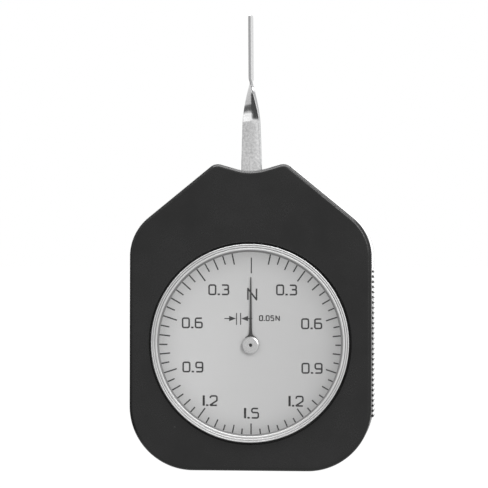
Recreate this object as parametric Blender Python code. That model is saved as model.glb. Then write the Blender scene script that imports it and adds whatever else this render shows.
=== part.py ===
"""Dial tension gauge, in metres: +Z runs up along the feeler, the dial faces -Y, and the housing
stands on its flat bottom edge at Z = 0. A sprung feeler turns a toothed sector, the sector turns a
pinion, and the pinion's arbor carries the pointer over the dial."""

import math

import bmesh
import bpy

MM = 0.001

# Fits
FIT_GAP = 0.05 * MM
SEAT_GAP = 0.2 * MM
CUT_OVERRUN = 1.0 * MM

# Housing outline, seen from the front
FLANK_MARGIN = 6.0 * MM
BOTTOM_MARGIN = 7.7 * MM
SHOULDER_DROP = 18.77 * MM
HORN_HALF_SPACING = 9.5 * MM
HORN_RISE = 2.74 * MM
BOTTOM_ROUND = 17.15 * MM
SHOULDER_ROUND = 13.4 * MM
HORN_ROUND = 3.2 * MM
NOTCH_ROUND = 13.9 * MM
LEAST_ROUND = 0.3 * MM

# Housing walls
CASE_WALL = 2.0 * MM
FRONT_WALL = 2.0 * MM
FRONT_EDGE_ROUND = 1.1 * MM
BACK_CLEARANCE = 1.4 * MM
PARTING_GAP = 0.3 * MM
COVER_THICKNESS = 2.2 * MM
COVER_RIM_HEIGHT = 1.0 * MM
COVER_RIM_WALL = 1.2 * MM
BACK_EDGE_ROUND = 1.0 * MM

# Grip ribs on the flanks
RIB_COUNT = 29
RIB_PITCH = 1.384 * MM
RIB_ROW_DROP = 0.17 * MM
RIB_ROOT_WIDTH = 0.72 * MM
RIB_CREST_WIDTH = 0.44 * MM
RIB_PROUD = 0.38 * MM
RIB_SUNK_SHARE = 0.5
RIB_SETBACK = 5.2 * MM
RIB_END_MARGIN = 0.5 * MM

# Window, ring and what it holds
RING_RADIUS = 26.5 * MM
RING_LAND = 1.84 * MM
RING_WALL = 0.6 * MM
RING_SHADOW_GAP = 0.6 * MM
RING_CROWN = 0.42 * MM
LIP_THICKNESS = 0.8 * MM
FLANGE_OVERLAP = 1.2 * MM
FLANGE_THICKNESS = 0.6 * MM
GASKET_THICKNESS = 0.3 * MM
GASKET_SETBACK = 0.25 * MM
CRYSTAL_THICKNESS = 0.8 * MM
CRYSTAL_CLEARANCE = 0.27 * MM
RING_TOP_SHARES = (
    (0.0, 1.0), (0.12, 0.3), (0.34, 0.3), (0.45, 0.8), (0.56, 0.15), (0.74, 0.0), (0.93, 0.3), (1.0, 1.0),
)

# Dial and pointer
DIAL_DROP = 0.6 * MM
DIAL_THICKNESS = 0.4 * MM
DIAL_HOLE_RADIUS = 1.2 * MM
DIAL_FOOT_RADIUS = 0.8 * MM
DIAL_FOOT_HALF_SPACING = 12.0 * MM
POINTER_SWEEP = math.radians(180.5)
POINTER_LENGTH = 18.2 * MM
POINTER_THICKNESS = 0.15 * MM
POINTER_LIFT = 0.35 * MM
POINTER_EYE_RADIUS = 1.9 * MM
POINTER_FOOT_WIDTH = 2.1 * MM
POINTER_OUTLINE_SHARES = ((0.122, 1.0), (0.14, 0.72), (0.175, 0.5), (0.28, 0.38), (0.66, 0.29), (1.0, 0.15))
BOSS_RADIUS = 2.3 * MM
BOSS_HEIGHT = 0.8 * MM
BOSS_EDGE = 0.15 * MM
BOSS_SLEEVE_WALL = 0.4 * MM
ARBOR_TIP_RADIUS = 0.42 * MM
ARBOR_TIP_PROUD = 0.08 * MM
ARBOR_PIVOT_RADIUS = 0.5 * MM
ARBOR_RADIUS = 0.9 * MM
ARBOR_BUSH_WALL = 0.75 * MM

# Movement plates
PLATE_THICKNESS = 1.1 * MM
PLATE_RADIUS = 20.0 * MM
PLATE_EAR_RADIUS = 3.2 * MM
PLATE_TOP_RADIUS = 5.0 * MM
PLATE_SCREW_HALF_SPACING = 13.0 * MM
PLATE_SCREW_DROP = 2.6 * MM
PLATE_SCREW_CLEARANCE = 0.9 * MM
PLATE_SCREW_ANGLE = math.radians(28.7)
BRIDGE_THICKNESS = 1.1 * MM
BRIDGE_CLEARANCE = 0.4 * MM
BRIDGE_EAR_RADIUS = 3.0 * MM
BRIDGE_EYE_RADIUS = 4.0 * MM
PILLAR_RADIUS = 1.8 * MM
PILLAR_SPIGOT_RADIUS = 1.0 * MM
PILLAR_HOLE_DEPTH = 3.5 * MM
PILLAR_HALF_SPACING = 10.5 * MM
PILLAR_RISE = 2.7 * MM
PILLAR_DROP = 9.2 * MM
BUSH_PROUD = 0.15 * MM
SHOULDER_PLAY = 0.1 * MM

# Wheel work
MODULE = 0.3 * MM
PINION_TEETH = 12
SECTOR_TEETH = 228
PRESSURE_ANGLE = math.radians(20.0)
BACKLASH = 0.03 * MM
SECTOR_ADDENDUM_SHARE = 0.7
SECTOR_DEDENDUM_SHARE = 1.3
PINION_ADDENDUM_SHARE = 1.0
PINION_DEDENDUM_SHARE = 1.05
SECTOR_SPARE_TEETH = 5
SECTOR_THICKNESS = 1.0 * MM
SECTOR_RIM = 3.2 * MM
SECTOR_WAIST = 5.0 * MM
SECTOR_YOKE_MARGIN = 0.6 * MM
SECTOR_YOKE_HEIGHT = 3.4 * MM
SECTOR_EYE_WALL = 2.0 * MM
PINION_OVERHANG = 0.2 * MM

# Feeler and its pivot
FEELER_LENGTH = 52.7 * MM
FEELER_ROOT_WIDTH = 5.5 * MM
FEELER_WIDTH = 5.0 * MM
FEELER_THICKNESS = 0.8 * MM
FEELER_CHAMFER = 0.12 * MM
FEELER_FOOT_GAP = 0.8 * MM
FEELER_TWIST_RISE = 11.47 * MM
FEELER_TWIST_LENGTH = 12.6 * MM
FEELER_TWIST = math.radians(-90.0)
FEELER_LEAN = 0.45 * MM
FEELER_TIP_ROUND = 1.2 * MM
FEELER_TIP_BEVEL_LENGTH = 2.6 * MM
FEELER_TIP_THICKNESS = 0.45 * MM
SHAFT_RADIUS = 1.5 * MM
SHAFT_PIVOT_RADIUS = 0.75 * MM
SHAFT_BUSH_WALL = 0.85 * MM
HOLDER_THICKNESS = 1.0 * MM
HOLDER_EYE_RADIUS = 3.8 * MM
HOLDER_WIDTH = 6.6 * MM
HOLDER_RISE = 8.0 * MM
HOLDER_CLEARANCE = 0.13 * MM
HOLDER_BOSS_WALL = 1.1 * MM
HOLDER_BOSS_PROUD = 0.6 * MM
FEELER_SCREW_SHARES = (0.49, 0.84)
SLOT_CLEARANCE = 0.45 * MM

# Springs, posts and stops
SPRING_ARM = 16.0 * MM
SPRING_WIRE_RADIUS = 0.175 * MM
SPRING_COIL_RADIUS = 0.85 * MM
SPRING_TURNS = 8
SPRING_HOOK_REACH = 2.4 * MM
SPRING_HOOK_OPENING = math.radians(25.0)
SPRING_PIN_RADIUS = 0.6 * MM
SPRING_PIN_PROUD = 0.6 * MM
ANCHOR_HALF_SPACING = 3.0 * MM
POST_HALF_SPACING = 18.0 * MM
STOP_BELOW_SPRING = 8.0 * MM
STOP_RADIUS = 0.75 * MM
STOP_MARGIN = math.radians(0.3)
HAIRSPRING_TURNS = 5
HAIRSPRING_OUTER_RADIUS = 4.9 * MM
HAIRSPRING_THICKNESS = 0.12 * MM
HAIRSPRING_HEIGHT = 0.4 * MM
HAIRSPRING_LIFT = 1.2 * MM
COLLET_WALL = 0.5 * MM
COLLET_HEIGHT = 0.8 * MM
STUD_RADIUS = 0.5 * MM
STUD_EAR_MARGIN = 1.1 * MM

# Screws
COVER_SCREW_RADIUS = 1.1 * MM
COVER_SCREW_HEAD_RADIUS = 2.1 * MM
COVER_SCREW_LENGTH = 7.5 * MM
COVER_SCREW_SUNK = 0.1 * MM
COVER_BOSS_RADIUS = 2.6 * MM
COVER_BOSS_BELOW = 0.2 * MM
SMALL_SCREW_RADIUS = 0.75 * MM
SMALL_HEAD_RADIUS = 1.35 * MM
SMALL_HEAD_HEIGHT = 0.65 * MM
SMALL_BOSS_RADIUS = 2.0 * MM
SCREW_SLOT_WIDTH = 0.4 * MM
SCREW_SLOT_DEPTH = 0.3 * MM
PLATE_SCREW_BITE = 1.9 * MM
BRIDGE_SCREW_BITE = 2.5 * MM
HOLE_SPARE_DEPTH = 0.3 * MM

# How finely round shapes are divided
ARC_STEP = math.radians(7.5)
EDGE_STEPS = 3
RING_SEGMENTS = 64
COVERED_RING_SEGMENTS = 48
BORE_SEGMENTS = 16
SHAFT_SEGMENTS = 14
PIN_SEGMENTS = 10
FLANK_STEPS = 3
TWIST_STEPS = 18
COIL_STEPS = 8
HAIRSPRING_STEPS = 14

# Depths of the stacks in front of the dial, between the plates and in the housing
WINDOW_STACK = (
    LIP_THICKNESS + SEAT_GAP + GASKET_THICKNESS + SEAT_GAP + CRYSTAL_THICKNESS + CRYSTAL_CLEARANCE
    + ARBOR_TIP_PROUD + BOSS_HEIGHT + FIT_GAP + POINTER_THICKNESS + POINTER_LIFT
)
DIAL_SETBACK = FRONT_WALL + SEAT_GAP + FLANGE_THICKNESS + SEAT_GAP
RING_PROUD = WINDOW_STACK - DIAL_SETBACK
PLATE_SPACING = (
    SEAT_GAP + SMALL_HEAD_HEIGHT + SEAT_GAP + FEELER_THICKNESS + FIT_GAP + HOLDER_THICKNESS + FIT_GAP
    + SECTOR_THICKNESS + SEAT_GAP + 2 * (SPRING_COIL_RADIUS + SPRING_WIRE_RADIUS) + BRIDGE_CLEARANCE
)
CASE_DEPTH = (
    DIAL_SETBACK + DIAL_THICKNESS + SEAT_GAP + PLATE_THICKNESS + PLATE_SPACING + BRIDGE_THICKNESS
    + FIT_GAP + SMALL_HEAD_HEIGHT + BACK_CLEARANCE
)
TOTAL_DEPTH = RING_PROUD + CASE_DEPTH + PARTING_GAP + COVER_THICKNESS

# Depths, front to back
RING_FRONT_Y = -TOTAL_DEPTH / 2
LIP_BACK_Y = RING_FRONT_Y + LIP_THICKNESS
GASKET_FRONT_Y = LIP_BACK_Y + SEAT_GAP
GASKET_BACK_Y = GASKET_FRONT_Y + GASKET_THICKNESS
CRYSTAL_FRONT_Y = GASKET_BACK_Y + SEAT_GAP
CRYSTAL_BACK_Y = CRYSTAL_FRONT_Y + CRYSTAL_THICKNESS
CASE_FRONT_Y = RING_FRONT_Y + RING_PROUD
CASE_BACK_Y = CASE_FRONT_Y + CASE_DEPTH
COVER_FRONT_Y = CASE_BACK_Y + PARTING_GAP
COVER_BACK_Y = COVER_FRONT_Y + COVER_THICKNESS
WALL_BACK_Y = CASE_FRONT_Y + FRONT_WALL
FLANGE_FRONT_Y = WALL_BACK_Y + SEAT_GAP
FLANGE_BACK_Y = FLANGE_FRONT_Y + FLANGE_THICKNESS
DIAL_FRONT_Y = FLANGE_BACK_Y + SEAT_GAP
DIAL_BACK_Y = DIAL_FRONT_Y + DIAL_THICKNESS
POINTER_BACK_Y = DIAL_FRONT_Y - POINTER_LIFT
POINTER_FRONT_Y = POINTER_BACK_Y - POINTER_THICKNESS
BOSS_BACK_Y = POINTER_FRONT_Y - FIT_GAP
BOSS_FRONT_Y = BOSS_BACK_Y - BOSS_HEIGHT
PLATE_FRONT_Y = DIAL_BACK_Y + SEAT_GAP
PLATE_BACK_Y = PLATE_FRONT_Y + PLATE_THICKNESS
FEELER_FRONT_Y = PLATE_BACK_Y + SEAT_GAP + SMALL_HEAD_HEIGHT + SEAT_GAP
FEELER_MIDDLE_Y = FEELER_FRONT_Y + FEELER_THICKNESS / 2
FEELER_BACK_Y = FEELER_FRONT_Y + FEELER_THICKNESS
HOLDER_FRONT_Y = FEELER_BACK_Y + FIT_GAP
HOLDER_BACK_Y = HOLDER_FRONT_Y + HOLDER_THICKNESS
SECTOR_FRONT_Y = HOLDER_BACK_Y + FIT_GAP
SECTOR_BACK_Y = SECTOR_FRONT_Y + SECTOR_THICKNESS
SPRING_Y = SECTOR_BACK_Y + SEAT_GAP + SPRING_WIRE_RADIUS + SPRING_COIL_RADIUS
BRIDGE_FRONT_Y = PLATE_BACK_Y + PLATE_SPACING
BRIDGE_BACK_Y = BRIDGE_FRONT_Y + BRIDGE_THICKNESS

# Heights, axes and radii that follow from the sizes above
WINDOW_HEIGHT = BOTTOM_MARGIN + RING_RADIUS
DIAL_HEIGHT = WINDOW_HEIGHT - DIAL_DROP
GEAR_RATIO = SECTOR_TEETH / PINION_TEETH
SWING = POINTER_SWEEP / GEAR_RATIO
PITCH_RADIUS = MODULE * SECTOR_TEETH / 2
CENTRE_DISTANCE = MODULE * (SECTOR_TEETH + PINION_TEETH) / 2
PIVOT_HEIGHT = DIAL_HEIGHT + CENTRE_DISTANCE
NOTCH_HEIGHT = PIVOT_HEIGHT + HOLDER_RISE + HOLDER_CLEARANCE + CASE_WALL
HORN_HEIGHT = NOTCH_HEIGHT + HORN_RISE
SHOULDER_HEIGHT = HORN_HEIGHT - SHOULDER_DROP
CASE_HALF_WIDTH = RING_RADIUS + FLANK_MARGIN
LIP_RADIUS = RING_RADIUS - RING_LAND
RING_BORE = RING_RADIUS - RING_WALL
FLANGE_RADIUS = RING_RADIUS + RING_SHADOW_GAP + FLANGE_OVERLAP
SPACER_INNER_RADIUS = LIP_RADIUS + GASKET_SETBACK
HOLDER_BOSS_RADIUS = SHAFT_RADIUS + FIT_GAP + HOLDER_BOSS_WALL
SECTOR_BORE = HOLDER_BOSS_RADIUS + FIT_GAP
SECTOR_EYE_RADIUS = SECTOR_BORE + SECTOR_EYE_WALL
COLLET_RADIUS = ARBOR_RADIUS + FIT_GAP + COLLET_WALL
SPRING_HEIGHT = PIVOT_HEIGHT - SPRING_ARM
ARBOR_AT = (0.0, DIAL_HEIGHT)
PIVOT_AT = (0.0, PIVOT_HEIGHT)


def finish(name, colour, roughness, metallic=0.0, alpha=1.0):
    """Return a material of one colour."""
    material = bpy.data.materials.new(name)
    material.use_nodes = True
    shader = material.node_tree.nodes["Principled BSDF"]
    shader.inputs["Base Color"].default_value = (*colour, 1.0)
    shader.inputs["Roughness"].default_value = roughness
    shader.inputs["Metallic"].default_value = metallic
    shader.inputs["Alpha"].default_value = alpha
    return material


def both_sides(at):
    """Return a place right of the middle and its mirror image."""
    across, height = at
    return ((across, height), (-across, height))


def arc(centre, radius, start, sweep, steps):
    """Return the points of an arc, both ends among them."""
    across, height = centre
    angles = [start + sweep * step / steps for step in range(steps + 1)]
    return [(across + radius * math.cos(a), height + radius * math.sin(a)) for a in angles]


def directions(corners, index):
    """Return the heading of the edge that arrives at a corner, and the turn to the edge that leaves."""
    across, height, _ = corners[index]
    before = corners[index - 1]
    after = corners[(index + 1) % len(corners)]
    arriving = math.atan2(height - before[1], across - before[0])
    leaving = math.atan2(after[1] - height, after[0] - across)
    return arriving, math.remainder(leaving - arriving, math.tau)


def inset(corners, distance):
    """Return a counter-clockwise outline's corners moved inwards, with its roundings kept parallel."""
    moved = []
    for index, (across, height, radius) in enumerate(corners):
        arriving, turn = directions(corners, index)
        inward = arriving + turn / 2 + math.pi / 2
        reach = distance / math.cos(turn / 2)
        shrunk = radius - distance if turn > 0 else radius + distance
        place = (across + reach * math.cos(inward), height + reach * math.sin(inward))
        moved.append((*place, max(shrunk, LEAST_ROUND)))
    return moved


def rounding_centre(corners, index):
    """Return the middle of the arc that rounds a corner, and the direction from there to the corner."""
    across, height, radius = corners[index]
    arriving, turn = directions(corners, index)
    outward = arriving + turn / 2 - math.copysign(math.pi / 2, turn)
    reach = radius / math.cos(turn / 2)
    return (across - reach * math.cos(outward), height - reach * math.sin(outward)), outward


def rounded(corners):
    """Return the points of a counter-clockwise outline whose corners are rounded."""
    points = []
    for index, (_, _, radius) in enumerate(corners):
        arriving, turn = directions(corners, index)
        centre, _ = rounding_centre(corners, index)
        start = arriving - math.copysign(math.pi / 2, turn)
        steps = max(2, round(abs(turn) / ARC_STEP))
        points += arc(centre, radius, start, turn, steps)
    return points


def hull(circles):
    """Return the convex outline round a list of circles, each ((across, height), radius)."""
    steps = round(math.tau / ARC_STEP / 2)
    rings = [arc(centre, radius, 0.0, math.tau, steps) for centre, radius in circles]
    points = sorted({point for ring in rings for point in ring})

    def chain(run):
        """Return the run's lower border."""
        border = []
        for point in run:
            while len(border) > 1:
                first, second = border[-2], border[-1]
                ahead = (second[0] - first[0]) * (point[1] - first[1])
                if ahead - (second[1] - first[1]) * (point[0] - first[0]) > 0:
                    break
                border.pop()
            border.append(point)
        return border[:-1]

    return chain(points) + chain(points[::-1])


def object_from(name, points, faces, material, at=(0.0, 0.0), parent=None):
    """Return a smooth-shaded object of these points and faces, standing at a place on the front view."""
    mesh = bpy.data.meshes.new(name)
    shape = bmesh.new()
    vertices = [shape.verts.new(point) for point in points]
    for face in faces:
        shape.faces.new([vertices[index] for index in face])
    bmesh.ops.recalc_face_normals(shape, faces=shape.faces)
    shape.to_mesh(mesh)
    shape.free()
    mesh.shade_smooth()
    mesh.set_sharp_from_angle(angle=math.radians(30.0))
    thing = bpy.data.objects.new(name, mesh)
    bpy.context.scene.collection.objects.link(thing)
    thing.location = (at[0], 0.0, at[1])
    if material is not None:
        mesh.materials.append(material)
    if parent is not None:
        thing.parent = parent
    return thing


def loft_shape(outlines, depths):
    """Return the points and faces of a solid that joins outlines of equal length, front to back."""
    count = len(outlines[0])
    points = [(x, depth, z) for outline, depth in zip(outlines, depths) for x, z in outline]
    faces = [tuple(range(count)), tuple(range(len(points) - count, len(points)))]
    for start in range(0, len(points) - count, count):
        for index in range(count):
            following = (index + 1) % count
            faces.append((start + index, start + following, start + following + count, start + index + count))
    return points, faces


def prism_shape(outline, front, back):
    """Return the points and faces of an outline extruded from front to back."""
    return loft_shape([outline, outline], [front, back])


def rim_shape(outer, inner, front, back):
    """Return the points and faces of a rim between two outlines of equal length."""
    points, faces = loft_shape([outer, outer, inner, inner], [front, back, back, front])
    count = len(outer)
    last = 3 * count
    sides = faces[2:]
    for index in range(count):
        following = (index + 1) % count
        sides.append((last + index, last + following, following, index))
    return points, sides


def turned_shape(profile, segments, closed=False, at=(0.0, 0.0)):
    """Return the points and faces of a profile of (radius, depth) turned about an axis along Y."""
    points = []
    rings = []
    for radius, depth in profile:
        if radius == 0:
            rings.append([len(points)] * segments)
            points.append((at[0], depth, at[1]))
            continue
        rings.append(list(range(len(points), len(points) + segments)))
        circle = arc(at, radius, 0.0, math.tau, segments)[:-1]
        points += [(x, depth, z) for x, z in circle]
    pairs = list(zip(rings, rings[1:]))
    if closed:
        pairs.append((rings[-1], rings[0]))
    faces = []
    for first, second in pairs:
        for index in range(segments):
            following = (index + 1) % segments
            corners = (first[index], first[following], second[following], second[index])
            faces.append(tuple(dict.fromkeys(corners)))
    return points, faces


def together(shapes):
    """Return the points and faces of several shapes as one list."""
    points = []
    faces = []
    for more_points, more_faces in shapes:
        faces += [tuple(index + len(points) for index in face) for face in more_faces]
        points += more_points
    return points, faces


def cylinder_shape(at, radius, front, back, segments):
    """Return the points and faces of a plain cylinder along Y."""
    return turned_shape([(0, front), (radius, front), (radius, back), (0, back)], segments, at=at)


def combine(target, name, operation, shape):
    """Join a helper shape to an object, or cut it away. The shape is in the object's own axes."""
    helper = object_from(name, *shape, None)
    helper.hide_render = True
    helper.display_type = "WIRE"
    helper.parent = target
    modifier = target.modifiers.new(name, "BOOLEAN")
    modifier.operation = operation
    modifier.solver = "EXACT"
    modifier.object = helper


def cut(target, name, *shapes):
    """Cut shapes out of an object."""
    combine(target, name, "DIFFERENCE", together(shapes))


def join(target, name, *shapes):
    """Join shapes to an object."""
    combine(target, name, "UNION", together(shapes))


def ring_profile(inner, outer, front, back):
    """Return the closed profile of a plain ring."""
    return [(outer, front), (outer, back), (inner, back), (inner, front)]


def case_corners():
    """Return the housing's outline as corners of (across, height, rounding), counter-clockwise."""
    return [
        (CASE_HALF_WIDTH, 0.0, BOTTOM_ROUND),
        (CASE_HALF_WIDTH, SHOULDER_HEIGHT, SHOULDER_ROUND),
        (HORN_HALF_SPACING, HORN_HEIGHT, HORN_ROUND),
        (0.0, NOTCH_HEIGHT, NOTCH_ROUND),
        (-HORN_HALF_SPACING, HORN_HEIGHT, HORN_ROUND),
        (-CASE_HALF_WIDTH, SHOULDER_HEIGHT, SHOULDER_ROUND),
        (-CASE_HALF_WIDTH, 0.0, BOTTOM_ROUND),
    ]


def cover_screw_places():
    """Return where the cover's screws stand: in the four roundings, clear of the cover's rim."""
    corners = case_corners()
    places = []
    for index in (0, 1):
        (across, height), outward = rounding_centre(corners, index)
        round_radius = corners[index][2]
        reach = round_radius - CASE_WALL - 2 * SEAT_GAP - COVER_RIM_WALL - COVER_BOSS_RADIUS
        places += both_sides((across + reach * math.cos(outward), height + reach * math.sin(outward)))
    return places


def plate_screw_places():
    """Return where the movement's screws stand: beside the feeler's pivot, and below the dial."""
    reach = FLANGE_RADIUS + SMALL_BOSS_RADIUS + PLATE_SCREW_CLEARANCE
    low = (reach * math.sin(PLATE_SCREW_ANGLE), DIAL_HEIGHT - reach * math.cos(PLATE_SCREW_ANGLE))
    return (*both_sides((PLATE_SCREW_HALF_SPACING, PIVOT_HEIGHT - PLATE_SCREW_DROP)), *both_sides(low))


def edge_rounding(radius):
    """Return (inset, depth from the face) steps of a rounded edge, from the face outwards."""
    quarter = [math.pi / 2 * step / EDGE_STEPS for step in range(EDGE_STEPS + 1)]
    return [(radius * (1 - math.sin(angle)), radius * (1 - math.cos(angle))) for angle in quarter]


def flank_reach(height):
    """Return how far the housing reaches sideways at a height, in the bottom rounding and above it."""
    drop = max(0.0, BOTTOM_ROUND - height)
    return CASE_HALF_WIDTH - BOTTOM_ROUND + math.sqrt(BOTTOM_ROUND**2 - drop**2)


def rib_shapes():
    """Return the grip ribs of both flanks: bars that run front to back and taper to their crests."""
    front = CASE_FRONT_Y + RIB_SETBACK
    back = CASE_BACK_Y - RIB_END_MARGIN
    top = WINDOW_HEIGHT - RIB_ROW_DROP + RIB_PITCH * (RIB_COUNT - 1) / 2
    crest = CASE_HALF_WIDTH + RIB_PROUD
    shapes = []
    for side in (1, -1):
        for number in range(RIB_COUNT):
            height = top - number * RIB_PITCH
            sunk = flank_reach(height - RIB_ROOT_WIDTH / 2) - RIB_SUNK_SHARE * CASE_WALL
            outline = [
                (side * sunk, height - RIB_ROOT_WIDTH / 2),
                (side * CASE_HALF_WIDTH, height - RIB_ROOT_WIDTH / 2),
                (side * crest, height - RIB_CREST_WIDTH / 2),
                (side * crest, height + RIB_CREST_WIDTH / 2),
                (side * CASE_HALF_WIDTH, height + RIB_ROOT_WIDTH / 2),
                (side * sunk, height + RIB_ROOT_WIDTH / 2),
            ]
            shapes.append(prism_shape(outline, front, back))
    return shapes


def feeler_slot_shape():
    """Return the slot in the notch's wall: wide enough for the feeler at both ends of its swing."""
    rise = HORN_HEIGHT - PIVOT_HEIGHT
    half = FEELER_ROOT_WIDTH / 2 / math.cos(SWING) + rise * math.tan(SWING) + SLOT_CLEARANCE
    low = NOTCH_HEIGHT - 2 * CASE_WALL
    high = HORN_HEIGHT + CUT_OVERRUN
    outline = [(-half, low), (half, low), (half, high), (-half, high)]
    return prism_shape(outline, FEELER_FRONT_Y - SLOT_CLEARANCE, FEELER_BACK_Y + SLOT_CLEARANCE)


def build_front_case(material):
    """Build the front half of the housing with its window, ribs, bosses and feeler slot."""
    rounding = edge_rounding(FRONT_EDGE_ROUND)
    outlines = [rounded(inset(case_corners(), step)) for step, _ in rounding]
    depths = [CASE_FRONT_Y + depth for _, depth in rounding]
    case = object_from("front_case", *loft_shape(outlines + outlines[-1:], depths + [CASE_BACK_Y]), material)
    hollow = rounded(inset(case_corners(), CASE_WALL))
    cut(case, "case_hollow", prism_shape(hollow, WALL_BACK_Y, CASE_BACK_Y + CUT_OVERRUN))
    root = WALL_BACK_Y - FRONT_WALL / 2
    tall = [
        cylinder_shape(at, COVER_BOSS_RADIUS, root, CASE_BACK_Y - COVER_BOSS_BELOW, BORE_SEGMENTS)
        for at in cover_screw_places()
    ]
    short = [
        cylinder_shape(at, SMALL_BOSS_RADIUS, root, PLATE_FRONT_Y - SEAT_GAP, BORE_SEGMENTS)
        for at in plate_screw_places()
    ]
    join(case, "case_bosses", *tall, *short)
    join(case, "case_ribs", *rib_shapes())
    window_radius = RING_RADIUS + RING_SHADOW_GAP
    front, back = CASE_FRONT_Y - CUT_OVERRUN, WALL_BACK_Y + CUT_OVERRUN
    window = cylinder_shape((0.0, WINDOW_HEIGHT), window_radius, front, back, RING_SEGMENTS)
    cut(case, "case_window", window)
    deep = COVER_FRONT_Y - COVER_SCREW_LENGTH - HOLE_SPARE_DEPTH
    shallow = PLATE_FRONT_Y - PLATE_SCREW_BITE - HOLE_SPARE_DEPTH
    cover_holes = [
        cylinder_shape(at, COVER_SCREW_RADIUS + FIT_GAP, deep, CASE_BACK_Y + CUT_OVERRUN, SHAFT_SEGMENTS)
        for at in cover_screw_places()
    ]
    plate_holes = [
        cylinder_shape(at, SMALL_SCREW_RADIUS + FIT_GAP, shallow, CASE_BACK_Y + CUT_OVERRUN, PIN_SEGMENTS)
        for at in plate_screw_places()
    ]
    cut(case, "case_holes", *cover_holes, *plate_holes)
    cut(case, "case_slot", feeler_slot_shape())


def build_back_cover(material):
    """Build the plate that closes the housing, with a rounded edge and four countersunk holes."""
    rounding = edge_rounding(BACK_EDGE_ROUND)[::-1]
    outlines = [rounded(inset(case_corners(), step)) for step, _ in rounding]
    depths = [COVER_BACK_Y - depth for _, depth in rounding]
    shell = loft_shape(outlines[:1] + outlines, [COVER_FRONT_Y] + depths)
    cover = object_from("back_cover", *shell, material)
    rim_outer = rounded(inset(case_corners(), CASE_WALL + SEAT_GAP))
    rim_inner = rounded(inset(case_corners(), CASE_WALL + SEAT_GAP + COVER_RIM_WALL))
    middle = (COVER_FRONT_Y + COVER_BACK_Y) / 2
    join(cover, "cover_rim", rim_shape(rim_outer, rim_inner, COVER_FRONT_Y - COVER_RIM_HEIGHT, middle))
    shank = COVER_SCREW_RADIUS + FIT_GAP
    sink = COVER_SCREW_HEAD_RADIUS - COVER_SCREW_RADIUS
    mouth = COVER_SCREW_HEAD_RADIUS + FIT_GAP
    profile = [
        (0, COVER_FRONT_Y - CUT_OVERRUN),
        (shank, COVER_FRONT_Y - CUT_OVERRUN),
        (shank, COVER_BACK_Y - COVER_SCREW_SUNK - sink),
        (mouth, COVER_BACK_Y - COVER_SCREW_SUNK),
        (mouth, COVER_BACK_Y + CUT_OVERRUN),
        (0, COVER_BACK_Y + CUT_OVERRUN),
    ]
    holes = [turned_shape(profile, BORE_SEGMENTS, at=at) for at in cover_screw_places()]
    cut(cover, "cover_holes", *holes)


def bar_shape(length, width, front, back, upright=False):
    """Return a bar across the middle of a screw's head."""
    half_length, half_width = length / 2, width / 2
    outline = [
        (-half_length, -half_width),
        (half_length, -half_width),
        (half_length, half_width),
        (-half_length, half_width),
    ]
    if upright:
        outline = [(-height, across) for across, height in outline]
    return prism_shape(outline, front, back)


def build_cover_screws(material):
    """Build the four countersunk cross-head screws of the back cover."""
    face = COVER_BACK_Y - COVER_SCREW_SUNK - FIT_GAP
    sink = COVER_SCREW_HEAD_RADIUS - COVER_SCREW_RADIUS
    profile = [
        (0, COVER_FRONT_Y - COVER_SCREW_LENGTH),
        (COVER_SCREW_RADIUS, COVER_FRONT_Y - COVER_SCREW_LENGTH),
        (COVER_SCREW_RADIUS, face - sink),
        (COVER_SCREW_HEAD_RADIUS - FIT_GAP, face),
        (0, face),
    ]
    floor = face - 2 * SCREW_SLOT_DEPTH
    for number, at in enumerate(cover_screw_places(), 1):
        screw = object_from(f"cover_screw_{number}", *turned_shape(profile, SHAFT_SEGMENTS), material, at)
        for way, upright in (("level", False), ("upright", True)):
            bar = bar_shape(
                COVER_SCREW_HEAD_RADIUS, SCREW_SLOT_WIDTH, floor, face + CUT_OVERRUN, upright
            )
            cut(screw, f"cross_{way}_{number}", bar)


def build_slotted_screw(name, material, at, seat, length, facing, parent=None):
    """Build a cheese-head screw whose head sits on a seat and faces front (-1) or back (+1)."""
    face = seat + facing * SMALL_HEAD_HEIGHT
    profile = [
        (0, seat - facing * length),
        (SMALL_SCREW_RADIUS, seat - facing * length),
        (SMALL_SCREW_RADIUS, seat),
        (SMALL_HEAD_RADIUS, seat),
        (SMALL_HEAD_RADIUS, face),
        (0, face),
    ]
    screw = object_from(name, *turned_shape(profile, PIN_SEGMENTS), material, at, parent)
    floor = face - facing * SCREW_SLOT_DEPTH
    top = face + facing * CUT_OVERRUN
    bar = bar_shape(4 * SMALL_HEAD_RADIUS, SCREW_SLOT_WIDTH, min(floor, top), max(floor, top))
    cut(screw, f"{name}_slot", bar)


def build_bezel_ring(material):
    """Build the ring round the window: a crowned lip in front, a wall, and a flange behind the case."""
    top = [
        (LIP_RADIUS + across * RING_LAND, RING_FRONT_Y + down * RING_CROWN)
        for across, down in RING_TOP_SHARES
    ]
    profile = top + [
        (RING_RADIUS, FLANGE_FRONT_Y),
        (FLANGE_RADIUS, FLANGE_FRONT_Y),
        (FLANGE_RADIUS, FLANGE_BACK_Y),
        (RING_BORE, FLANGE_BACK_Y),
        (RING_BORE, LIP_BACK_Y),
        (LIP_RADIUS, LIP_BACK_Y),
    ]
    shape = turned_shape(profile, RING_SEGMENTS, closed=True)
    object_from("bezel_ring", *shape, material, (0.0, WINDOW_HEIGHT))


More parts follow.
